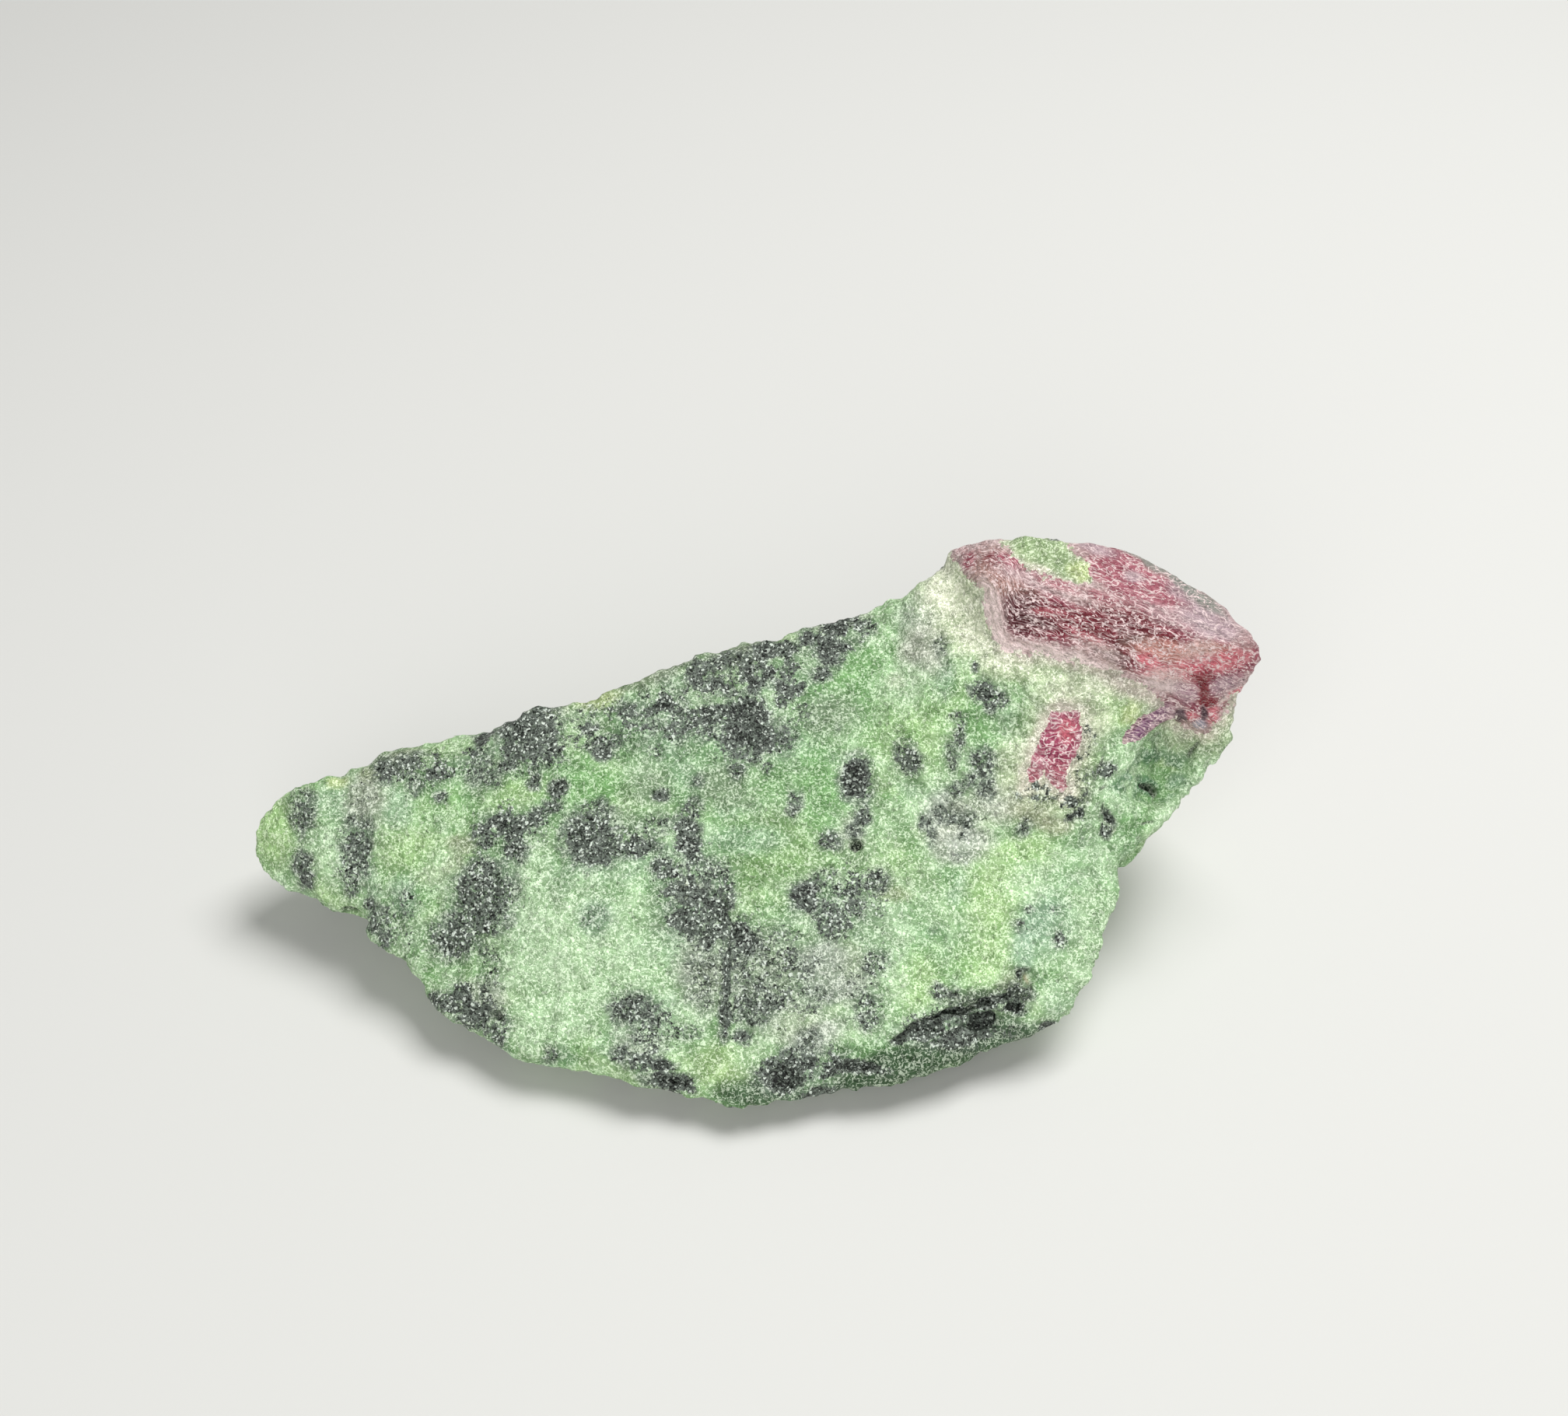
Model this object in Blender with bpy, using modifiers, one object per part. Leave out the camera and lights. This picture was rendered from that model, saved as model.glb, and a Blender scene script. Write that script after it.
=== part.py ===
"""A rough chunk of ruby in zoisite, about 76 mm long, lying on its flattest break.

The stone is one piece: green zoisite rock with a ruby crystal grown into its thick end. The rock is
modelled as broken blocks, each the convex hull of its own corners, joined, hollowed and worked over
with swells, lumps and broken steps. The ruby is a block of its own with crisp facets and parting
steps, joined into the rock. The crack under the front ledge and a few pits are then cut, and the
underside is cut off flat where the stone rests. Sizes are in millimetres; Blender's units are metres.
"""

import math

import bmesh
import bpy
from mathutils import Matrix, Vector, noise

MM = 0.001

# Working resolution and finish
ROCK_GRID = 0.62  # spacing of the rock's working surface
RUBY_GRID = 0.45  # spacing of the ruby's working surface
STONE_GRID = 0.5  # spacing of the joined surface
ROCK_ROUNDING = 5  # smoothing passes that soften the joins between the rock's blocks
RUBY_ROUNDING = 2
JOIN_ROUNDING = 2
TRIANGLES = 8600  # of the stone before the crack and pits are cut
SHARP_ANGLE = math.radians(35.0)

# The blocks as corners (x, y, z): x along the stone, y away from its broad face, z up.
BODY = [
    # left tip and the front edge beside it
    (-38.4, 2.8, 8.4), (-37.9, 2.0, 6.4), (-36.8, 0.4, 5.6), (-35.0, -0.4, 5.0), (-31.0, -2.4, 4.6),
    (-28.6, -6.2, 4.2), (-26.4, -8.6, 3.9), (-23.9, -10.4, 3.6), (-21.4, -12.6, 3.3),
    # front edge of the broad face
    (-18.7, -14.2, 3.0), (-15.2, -14.4, 3.0), (-9.9, -16.2, 3.0), (-5.0, -18.3, 2.7), (-1.6, -19.6, 2.4),
    (4.3, -18.6, 2.0), (10.0, -15.2, 2.0), (19.2, -12.4, 2.8), (21.9, -12.6, 3.2), (23.6, -12.5, 4.0),
    # upper lip of the front ledge
    (10.3, -15.2, 5.4), (15.9, -13.5, 6.5), (19.8, -11.5, 7.6),
    # end of the broad face
    (24.7, -11.9, 5.2), (25.4, -10.4, 6.6), (25.6, -8.0, 7.6), (26.1, -6.0, 8.4), (27.1, -3.2, 9.2),
    # crown of the broad face
    (18.3, -6.2, 11.2), (10.0, -4.0, 12.8), (0.0, -4.6, 12.4), (-12.0, -5.0, 11.4), (-24.0, -3.0, 9.6),
    # back edge of the broad face
    (-37.8, 3.6, 9.2), (-37.0, 4.4, 10.2), (-33.2, 5.0, 11.3), (-24.6, 4.6, 12.9), (-14.0, 8.0, 17.5),
    (-8.0, 9.9, 19.1), (-1.0, 10.4, 19.7), (4.9, 11.7, 20.4), (11.9, 14.8, 21.6),
    # back
    (-35.6, 6.6, 7.4), (-28.0, 9.8, 7.5), (-20.0, 13.0, 8.0), (-9.0, 15.5, 9.5), (2.0, 17.5, 10.5),
    (12.0, 19.0, 12.0), (22.0, 13.0, 8.0),
    # underside: an outer ring that lifts away from the ground, and the ring that is cut flat
    (-33.0, 2.0, 3.8), (-24.0, -5.0, 3.0), (-14.0, -12.0, 2.2), (10.0, -13.2, 1.3), (21.0, -8.0, 2.4),
    (22.5, 2.0, 3.4), (18.0, 12.0, 4.2), (3.0, 14.5, 4.2), (-12.0, 12.0, 4.4), (-24.0, 7.0, 4.6),
    (-10.0, -6.5, -1.1), (-3.0, -11.0, -1.1), (6.0, -10.5, -1.1), (14.5, -5.0, -1.1), (16.0, 2.5, -1.1),
    (10.0, 8.5, -1.1), (-1.0, 7.5, -1.1), (-9.0, 2.0, -1.1),
]
SHOULDER = [
    # knob on the back edge, where the tip widens
    (-20.6, 7.3, 16.8), (-15.6, 8.0, 17.8), (-12.0, 8.8, 18.2), (-21.0, 5.0, 14.0), (-16.0, 2.4, 14.0),
    (-10.0, 3.0, 14.6), (-20.0, 9.6, 12.0), (-11.0, 11.4, 13.6),
]
NECK = [
    # shoulder up to the ruby
    (9.0, 13.2, 20.8), (13.2, 15.2, 23.9), (15.0, 10.2, 22.8), (15.0, 5.4, 18.6), (8.0, 0.6, 14.2),
    # foot of the ruby
    (17.1, 7.9, 22.2), (21.5, 6.6, 22.0), (26.6, 5.6, 21.2), (29.6, 6.0, 20.0),
    # slope between the ruby and the broad face
    (24.6, 3.9, 15.6), (23.0, -1.4, 12.2), (16.0, -3.6, 12.4),
    # overhanging end, from the ruby's point down to the waist
    (36.4, 7.0, 19.2), (35.1, 4.7, 16.8), (34.3, 2.3, 14.6), (32.0, 0.2, 12.5), (27.8, -1.6, 10.5),
    # underside of the overhang and back
    (30.0, 5.0, 7.6), (24.0, 2.0, 3.4), (19.0, 0.0, 0.6), (10.0, 18.0, 9.0), (22.0, 17.6, 7.0),
    (30.5, 12.5, 9.6), (11.0, 18.8, 15.0), (15.0, 19.2, 20.0), (21.0, 20.0, 21.8), (29.5, 16.8, 20.4),
    (34.6, 12.2, 19.0), (34.4, 10.0, 13.8),
]
RUBY = [
    # back rim
    (13.8, 16.2, 25.2), (17.0, 15.0, 27.1), (20.1, 14.1, 28.1), (26.8, 12.7, 28.1), (29.8, 10.9, 27.6),
    (33.9, 8.8, 26.1), (36.4, 7.4, 24.1), (37.4, 7.3, 22.5),
    # ridge between the top and the front facet
    (16.7, 10.9, 26.0), (24.0, 8.1, 25.6), (28.5, 6.9, 24.8), (33.0, 6.1, 24.0),
    # foot of the front facet
    (16.3, 9.8, 23.2), (17.1, 7.9, 22.0), (21.5, 6.2, 22.3), (26.6, 5.2, 21.4), (29.6, 5.7, 19.8),
    (33.2, 5.4, 17.0), (36.4, 6.9, 19.5),
    # behind
    (14.0, 18.5, 19.0), (22.0, 19.2, 20.0), (30.0, 15.8, 19.0), (35.2, 10.8, 17.0),
]

# Hollows: centre of an ellipsoid and its half-lengths.
HOLLOWS = [
    ((32.0, 0.4, 16.4), (4.4, 4.7, 5.0)),  # glassy hollow under the ruby
    ((-4.0, -17.0, 17.4), (15.0, 12.0, 8.2)),  # shallow dish in the broad face
    ((-27.0, 8.2, 18.2), (9.0, 7.0, 5.6)),  # dip in the back edge beside the tip
]
PITS = [
    ((25.9, -0.9, 12.7), (0.4, 0.8, 1.1)),  # slit at the hollow's foot
    ((29.7, 2.7, 13.0), (0.8, 0.5, 0.5)),  # slit inside the hollow
    ((19.5, -10.8, 7.2), (0.65, 0.9, 1.3)),  # at the end of the ledge's crack
    ((18.4, -11.9, 5.9), (0.7, 0.7, 0.5)),  # under that end
    ((16.0, -13.2, 5.1), (1.0, 0.8, 0.6)),  # below the crack
    ((11.9, -14.3, 5.6), (0.9, 0.8, 0.55)),  # at the start of the crack
    ((7.0, -3.2, 13.1), (0.5, 0.5, 0.5)),  # round pit in the broad face
    ((-30.9, -4.4, 4.8), (1.8, 1.7, 2.6)),  # notch in the tip's front edge
]

# The crack under the front ledge: points of its mouth, width there and depth.
CRACK = [
    ((8.9, -15.4, 5.0), 0.15, 0.5), ((10.3, -14.8, 5.35), 0.5, 1.2), ((12.4, -14.0, 5.6), 0.8, 1.8),
    ((13.6, -13.5, 6.0), 0.5, 1.9), ((15.6, -12.8, 6.1), 0.9, 2.1), ((17.0, -12.3, 6.6), 0.6, 2.0),
    ((18.7, -11.6, 6.65), 0.8, 1.7), ((19.8, -10.9, 7.3), 0.4, 0.9),
]
CRACK_INTO = Vector((-0.10, 0.97, -0.22)).normalized()  # the way it runs into the stone
CRACK_UP = Vector((0.0, 0.22, 0.97))  # across its mouth
CRACK_PROUD = 2.2  # how far the cutting blade stands out of the stone

# Relief of the rock: height and wavelength of each layer.
SWELL = (0.7, 13.0)
LUMPS = (0.42, 4.6)
BREAK_STEP = 0.55  # height of the broken steps on the hidden sides
BREAK_SPAN = 8.5
FLAT_SHADED = 0.01 * MM  # faces lower than this are the resting flat
FLAT_MARGIN = 5.0  # the steps fade out within this height of the ground
BROAD_FACE = Vector((0.05, -0.62, 0.78))  # the way the broad face looks

# Relief of the ruby: parting steps that run along the crystal.
RUBY_STEP = 0.2
RUBY_SPACING = 1.7
RUBY_WANDER = 0.8
RUBY_ALONG = Vector((0.93, -0.28, -0.22)).normalized()
RUBY_TOP = Vector((-0.05, -0.33, 0.94)).normalized()


def linked(name, bm, collection):
    """A new object made from the bmesh."""
    mesh = bpy.data.meshes.new(name)
    bm.to_mesh(mesh)
    bm.free()
    obj = bpy.data.objects.new(name, mesh)
    collection.objects.link(obj)
    return obj


def hidden(obj):
    """Marks a helper that only joins or cuts."""
    obj.hide_render = True
    obj.display_type = "WIRE"
    return obj


def block(name, corners, collection):
    """One broken block: the convex hull of its corners."""
    bm = bmesh.new()
    for corner in corners:
        bm.verts.new(Vector(corner) * MM)
    made = bmesh.ops.convex_hull(bm, input=bm.verts)
    inside = [v for v in made["geom_interior"] if isinstance(v, bmesh.types.BMVert)]
    bmesh.ops.delete(bm, geom=inside, context="VERTS")
    return hidden(linked(name, bm, collection))


def scoop(name, centre, half_lengths, subdivisions, collection):
    """An ellipsoid that hollows out the stone."""
    bm = bmesh.new()
    bmesh.ops.create_icosphere(bm, subdivisions=subdivisions, radius=1.0)
    bm.transform(Matrix.LocRotScale(Vector(centre) * MM, None, Vector(half_lengths) * MM))
    return hidden(linked(name, bm, collection))


def blade(name, stations, collection):
    """A wedge along the crack: wide outside the stone and sharp at its inner edge."""
    bm = bmesh.new()
    rings = []
    for mouth, width, depth in stations:
        mouth = Vector(mouth)
        taper = width * (CRACK_PROUD + depth) / (2.0 * depth)
        outside = mouth - CRACK_INTO * CRACK_PROUD
        corners = (outside + CRACK_UP * taper, outside - CRACK_UP * taper, mouth + CRACK_INTO * depth)
        rings.append([bm.verts.new(corner * MM) for corner in corners])
    for one, other in zip(rings, rings[1:]):
        for i in range(3):
            j = (i + 1) % 3
            bm.faces.new((one[i], one[j], other[j], other[i]))
    bm.faces.new(rings[0][::-1])
    bm.faces.new(rings[-1])
    bmesh.ops.recalc_face_normals(bm, faces=bm.faces[:])
    bmesh.ops.triangulate(bm, faces=bm.faces[:])
    return hidden(linked(name, bm, collection))


def combined(target, others, operation):
    """Joins the other solids to the target, or cuts them from it."""
    for other in others:
        modifier = target.modifiers.new(other.name, "BOOLEAN")
        modifier.operation = operation
        modifier.solver = "EXACT"
        modifier.object = other


def regridded(target, spacing, rounding):
    """Gives the target an even surface mesh and softens it."""
    grid = target.modifiers.new("grid", "REMESH")
    grid.mode = "VOXEL"
    grid.voxel_size = spacing * MM
    soft = target.modifiers.new("rounding", "SMOOTH")
    soft.factor = 0.5
    soft.iterations = rounding


def baked(obj):
    """The object's mesh with its modifiers applied."""
    bpy.context.view_layer.update()
    graph = bpy.context.evaluated_depsgraph_get()
    mesh = bpy.data.meshes.new_from_object(obj.evaluated_get(graph))
    obj.modifiers.clear()
    return mesh


def smoothstep(low, high, value):
    """0 below low, 1 above high, and a smooth rise between them."""
    share = min(max((value - low) / (high - low), 0.0), 1.0)
    return share * share * (3.0 - 2.0 * share)


def rock_relief(point, normal):
    """Height of the relief over the rock's blocks, in millimetres."""
    height, span = SWELL
    swell = height * noise.noise(point / span)
    height, span = LUMPS
    lumps = height * noise.fractal(point / span, 0.8, 2.0, 2)
    unseen = 1.0 - smoothstep(-0.1, 0.5, normal.dot(BROAD_FACE))
    level = noise.noise(point / BREAK_SPAN + Vector((7.0, 3.0, 5.0))) * 3.0
    step = math.floor(level) + smoothstep(0.35, 0.65, level - math.floor(level))
    ledges = BREAK_STEP * unseen * smoothstep(0.0, FLAT_MARGIN, point.z) * (step - 0.3)
    return swell + lumps + ledges


def ruby_relief(point, _normal):
    """Height of the ruby's parting steps, in millimetres."""
    across = point.dot(RUBY_ALONG.cross(RUBY_TOP))
    phase = across / RUBY_SPACING + RUBY_WANDER * noise.noise(point / 5.0)
    rise = phase - math.floor(phase)
    return RUBY_STEP * (smoothstep(0.0, 0.8, rise) - smoothstep(0.8, 1.0, rise) - 0.5)


def worked_over(obj, relief):
    """Moves each point of the object's baked mesh along its normal by the relief."""
    mesh = baked(obj)
    moves = [v.normal * relief(v.co / MM, v.normal) * MM for v in mesh.vertices]
    for vertex, move in zip(mesh.vertices, moves):
        vertex.co += move
    obj.data = mesh
    return obj


def cut_flat(mesh):
    """Cuts the underside off on the resting plane and closes it."""
    bm = bmesh.new()
    bm.from_mesh(mesh)
    everything = bm.verts[:] + bm.edges[:] + bm.faces[:]
    bmesh.ops.bisect_plane(bm, geom=everything, plane_co=(0, 0, 0), plane_no=(0, 0, -1), clear_outer=True)
    rim = [e for e in bm.edges if e.is_boundary]
    bmesh.ops.holes_fill(bm, edges=rim, sides=0)
    bmesh.ops.triangulate(bm, faces=bm.faces[:])
    bm.to_mesh(mesh)
    bm.free()


def centred(mesh):
    """Puts the origin under the middle of the stone, on the resting plane."""
    xs, ys, zs = zip(*(v.co for v in mesh.vertices))
    middle = Vector(((min(xs) + max(xs)) / 2, (min(ys) + max(ys)) / 2, min(zs)))
    mesh.transform(Matrix.Translation(-middle))


def zoisite():
    """Green zoisite, matt with a slight sugary sheen."""
    material = bpy.data.materials.new("zoisite")
    material.use_nodes = True
    shader = material.node_tree.nodes["Principled BSDF"]
    shader.inputs["Base Color"].default_value = (0.27, 0.45, 0.24, 1.0)
    shader.inputs["Roughness"].default_value = 0.6
    shader.inputs["Metallic"].default_value = 0.0
    return material


def main():
    """Builds the stone."""
    for obj in list(bpy.data.objects):
        bpy.data.objects.remove(obj)
    parts = bpy.data.collections.new("ruby_in_zoisite")
    helpers = bpy.data.collections.new("helpers")
    bpy.context.scene.collection.children.link(parts)
    bpy.context.scene.collection.children.link(helpers)

    rock = block("rock", BODY, helpers)
    others = [block("shoulder_block", SHOULDER, helpers), block("neck_block", NECK, helpers)]
    combined(rock, others, "UNION")
    hollows = [scoop(f"hollow_{i}", *size, 4, helpers) for i, size in enumerate(HOLLOWS)]
    combined(rock, hollows, "DIFFERENCE")
    regridded(rock, ROCK_GRID, ROCK_ROUNDING)
    worked_over(rock, rock_relief)

    ruby = block("ruby", RUBY, helpers)
    regridded(ruby, RUBY_GRID, RUBY_ROUNDING)
    worked_over(ruby, ruby_relief)

    stone = bpy.data.objects.new("stone", rock.data.copy())
    parts.objects.link(stone)
    combined(stone, [ruby], "UNION")
    combined(stone, [hollows[0]], "DIFFERENCE")
    regridded(stone, STONE_GRID, JOIN_ROUNDING)
    stone.data = baked(stone)
    stone.data.calc_loop_triangles()
    fewer = stone.modifiers.new("fewer", "DECIMATE")
    fewer.ratio = TRIANGLES / len(stone.data.loop_triangles)
    stone.data = baked(stone)

    cutters = [scoop(f"pit_{i}", *size, 2, helpers) for i, size in enumerate(PITS)]
    combined(stone, [blade("crack_blade", CRACK, helpers)] + cutters, "DIFFERENCE")
    mesh = baked(stone)
    cut_flat(mesh)
    centred(mesh)
    mesh.shade_smooth()
    mesh.set_sharp_from_angle(angle=SHARP_ANGLE)
    for face in mesh.polygons:
        face.use_smooth = face.center.z > FLAT_SHADED
    mesh.materials.clear()
    mesh.materials.append(zoisite())
    stone.data = mesh


main()
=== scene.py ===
"""The looks of a broken piece of ruby in zoisite: sugary green zoisite, flecks of black hornblende, and one
large crystal of dusty ruby with a smaller one beside it. Lengths are millimetres, unless the name says
metres."""

import logging
import math
from collections.abc import Sequence
from dataclasses import dataclass, field
from enum import Enum

import bmesh
import bpy
import numpy as np
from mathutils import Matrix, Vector, noise
from mathutils.bvhtree import BVHTree


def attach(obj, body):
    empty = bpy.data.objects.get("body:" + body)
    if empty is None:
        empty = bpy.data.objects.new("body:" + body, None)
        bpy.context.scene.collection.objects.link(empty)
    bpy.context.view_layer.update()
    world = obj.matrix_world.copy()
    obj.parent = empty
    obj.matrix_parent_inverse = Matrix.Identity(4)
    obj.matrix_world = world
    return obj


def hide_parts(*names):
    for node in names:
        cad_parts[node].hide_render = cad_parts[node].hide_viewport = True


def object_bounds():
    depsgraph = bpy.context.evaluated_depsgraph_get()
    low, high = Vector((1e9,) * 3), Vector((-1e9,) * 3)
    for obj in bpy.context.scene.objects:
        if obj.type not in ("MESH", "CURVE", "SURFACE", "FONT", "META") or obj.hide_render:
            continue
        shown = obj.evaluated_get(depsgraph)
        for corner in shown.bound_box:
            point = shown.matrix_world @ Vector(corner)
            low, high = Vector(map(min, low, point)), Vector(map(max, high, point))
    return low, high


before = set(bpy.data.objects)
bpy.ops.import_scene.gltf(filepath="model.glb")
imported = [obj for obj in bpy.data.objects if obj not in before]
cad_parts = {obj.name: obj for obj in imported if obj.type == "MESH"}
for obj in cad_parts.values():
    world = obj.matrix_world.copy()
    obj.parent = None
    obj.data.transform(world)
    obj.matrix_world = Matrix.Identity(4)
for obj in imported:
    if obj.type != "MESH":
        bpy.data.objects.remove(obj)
CAD_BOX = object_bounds()

log = logging.getLogger("ruby_in_zoisite")

MM = 0.001
PARTING_ACROSS = Vector((0.38, 0.62, 0.69)).normalized()


def smoothstep(low: float, high: float, x: np.ndarray) -> np.ndarray:
    """Rise smoothly from 0 to 1.

    Args:
        low: where the rise starts.
        high: where it ends; below low, the rise is turned into a fall.
        x: the values to read.

    Returns:
        The risen values, from 0 to 1.
    """
    t = np.clip((x - low) / (high - low), 0.0, 1.0)
    return t * t * (3.0 - 2.0 * t)


# ---------------------------------------------------------------------------------------------------------
# Colours
# ---------------------------------------------------------------------------------------------------------


def linear(colour: Sequence[float]) -> np.ndarray:
    """Turn a screen colour, 0 to 255, into the linear light that shaders take."""
    c = np.asarray(colour, float) / 255.0
    return np.where(c <= 0.04045, c / 12.92, ((c + 0.055) / 1.055) ** 2.4)


class Tone(Enum):
    """The mineral colours, as screen colours from 0 to 255."""

    GREEN = (165, 193, 151)
    PALE = (192, 217, 180)
    LIME = (180, 211, 150)
    DEEP = (118, 164, 102)
    OLIVE = (80, 98, 68)
    YELLOW = (200, 210, 150)
    MOSS = (160, 184, 124)
    LEAF = (168, 186, 142)
    IVORY = (232, 231, 210)
    SAGE = (128, 150, 118)
    MOSS_DEEP = (124, 160, 96)
    CREAM = (196, 205, 172)
    BLUE_GREY = (152, 180, 158)
    PINK_GREY = (192, 193, 181)
    BEIGE = (178, 174, 150)
    BROWN = (146, 140, 122)
    SHADOWED = (112, 112, 98)
    RUSTY = (158, 138, 120)
    SHADED = (54, 82, 52)
    # painted shade of the cracks and pits
    HOLE = (22, 26, 22)
    GREYED = (108, 118, 109)
    GLASSY = (102, 138, 108)
    SLATE = (92, 102, 114)
    FACET = (236, 218, 194)
    LILAC = (156, 152, 164)
    BUFF = (162, 128, 116)
    CERISE = (150, 56, 86)
    SMOKE = (84, 62, 70)
    CHALKY = (184, 188, 180)
    ASH = (76, 56, 54)
    RIM = (216, 200, 193)
    DUSTY_PINK = (173, 152, 148)
    MAUVE = (176, 148, 150)
    MAROON = (110, 20, 36)
    DARK_MAROON = (72, 12, 22)
    FROST = (122, 129, 119)
    ROSY = (136, 62, 78)
    ROSE = (150, 70, 86)
    CRIMSON = (196, 98, 110)
    GEM = (118, 16, 32)
    PEACH = (188, 132, 120)
    SILVER = (168, 149, 155)
    PURPLE = (118, 76, 108)
    DUSK = (172, 144, 153)

    @property
    def light(self) -> np.ndarray:
        """The colour as linear light."""
        return linear(self.value)


# ---------------------------------------------------------------------------------------------------------
# Where things are
# ---------------------------------------------------------------------------------------------------------


@dataclass(frozen=True)
class Sight:
    """The camera, and where a point of the stone lands in its picture, in pixels right and down."""

    eye: tuple[float, float, float] = (2.65, -113.12, 128.58)
    down_degrees: float = 43.0
    lens: float = 50.0
    film: float = 36.0
    picture_wide: int = 2016
    picture_tall: int = 1821
    clip_metres: tuple[float, float] = (0.005, 5.0)

    @property
    def focal(self) -> float:
        """The lens's length in pixels of the picture."""
        return self.lens / self.film * self.picture_wide

    def axes(self) -> tuple[np.ndarray, np.ndarray, np.ndarray]:
        """The unit vectors to the right of the picture, to its top and into it.

        Returns:
            The three vectors.
        """
        tip = math.radians(self.down_degrees)
        right = np.array((1.0, 0.0, 0.0))
        top = np.array((0.0, math.sin(tip), math.cos(tip)))
        into = np.array((0.0, math.cos(tip), -math.sin(tip)))
        return right, top, into

    def project(self, points: np.ndarray) -> tuple[np.ndarray, np.ndarray, np.ndarray]:
        """Find where points land in the picture.

        Args:
            points: one point a row.

        Returns:
            Their columns and rows, and how far in front of the camera they are.
        """
        right, top, into = self.axes()
        away = points - np.array(self.eye)
        depth = away @ into
        columns = self.picture_wide / 2 + self.focal * (away @ right) / depth
        rows = self.picture_tall / 2 - self.focal * (away @ top) / depth
        return columns, rows, depth

    def ray(self, column: float, row: float) -> Vector:
        """The direction from the camera through one pixel.

        Args:
            column: the pixel's column.
            row: its row.

        Returns:
            A unit vector.
        """
        right, top, into = self.axes()
        across = (column - self.picture_wide / 2) / self.focal
        up = (self.picture_tall / 2 - row) / self.focal
        return Vector(into + across * right + up * top).normalized()

    def camera(self) -> bpy.types.Object:
        """Make the camera and give it to the scene.

        Returns:
            The camera.
        """
        data = bpy.data.cameras.new("camera")
        data.lens = self.lens
        data.sensor_width = self.film
        data.clip_start, data.clip_end = self.clip_metres
        made = bpy.data.objects.new("camera", data)
        made.location = Vector(self.eye) * MM
        made.rotation_euler = (math.radians(90.0 - self.down_degrees), 0.0, 0.0)
        bpy.context.scene.collection.objects.link(made)
        bpy.context.scene.camera = made
        return made


@dataclass(frozen=True)
class Lumps:
    """Noise over the skin: how wide its largest lumps are, its seed, and how many finer sizes join them."""

    size: float
    seed: float
    sizes: int = 0

    def read(self, skin: "Skin") -> np.ndarray:
        """The noise at every point, from about -1 to 1.

        Args:
            skin: the points.

        Returns:
            The noise.
        """
        if self.sizes:
            return skin.fractal(self.size, self.sizes, self.seed)
        return skin.noise(self.size, self.seed)

    def rise(self, skin: "Skin", low: float, high: float) -> np.ndarray:
        """How far the noise has risen from low to high, from 0 to 1, at every point."""
        return smoothstep(low, high, self.read(skin))


BROAD_FRAY = Lumps(1.3, 3.0)
FINE_FRAY = Lumps(0.55, 7.0)
ROCK_LUMPS = Lumps(2.6, 11.0, 3)
ROCK_CRUMBS = Lumps(0.9, 12.0, 2)
ROCK_SUGAR = Lumps(0.45, 13.0)
BLACK_GRAIN = Lumps(0.5, 14.0)
PARTING_WAVES = Lumps(2.0, 15.0)
CRYSTAL_LUMPS = Lumps(1.6, 16.0, 3)
HOLLOW_LUMPS = Lumps(1.3, 17.0, 2)
CHIPPED_AREAS = Lumps(7.0, 18.0)
BROAD_FACETS = Lumps(2.4, 19.0)
SMALL_FACETS = Lumps(1.1, 20.0)
DARK_RUBY = Lumps(4.0, 21.0, 3)
GREY_BREAKS = Lumps(1.1, 41.0, 2)
HAZE_BREAKS = Lumps(1.2, 42.0, 2)
HIDDEN_PATCHES = Lumps(5.2, 2.0, 3)
HIDDEN_EDGES = Lumps(1.4, 5.0)

FACET_SEAM = 0.07


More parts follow.
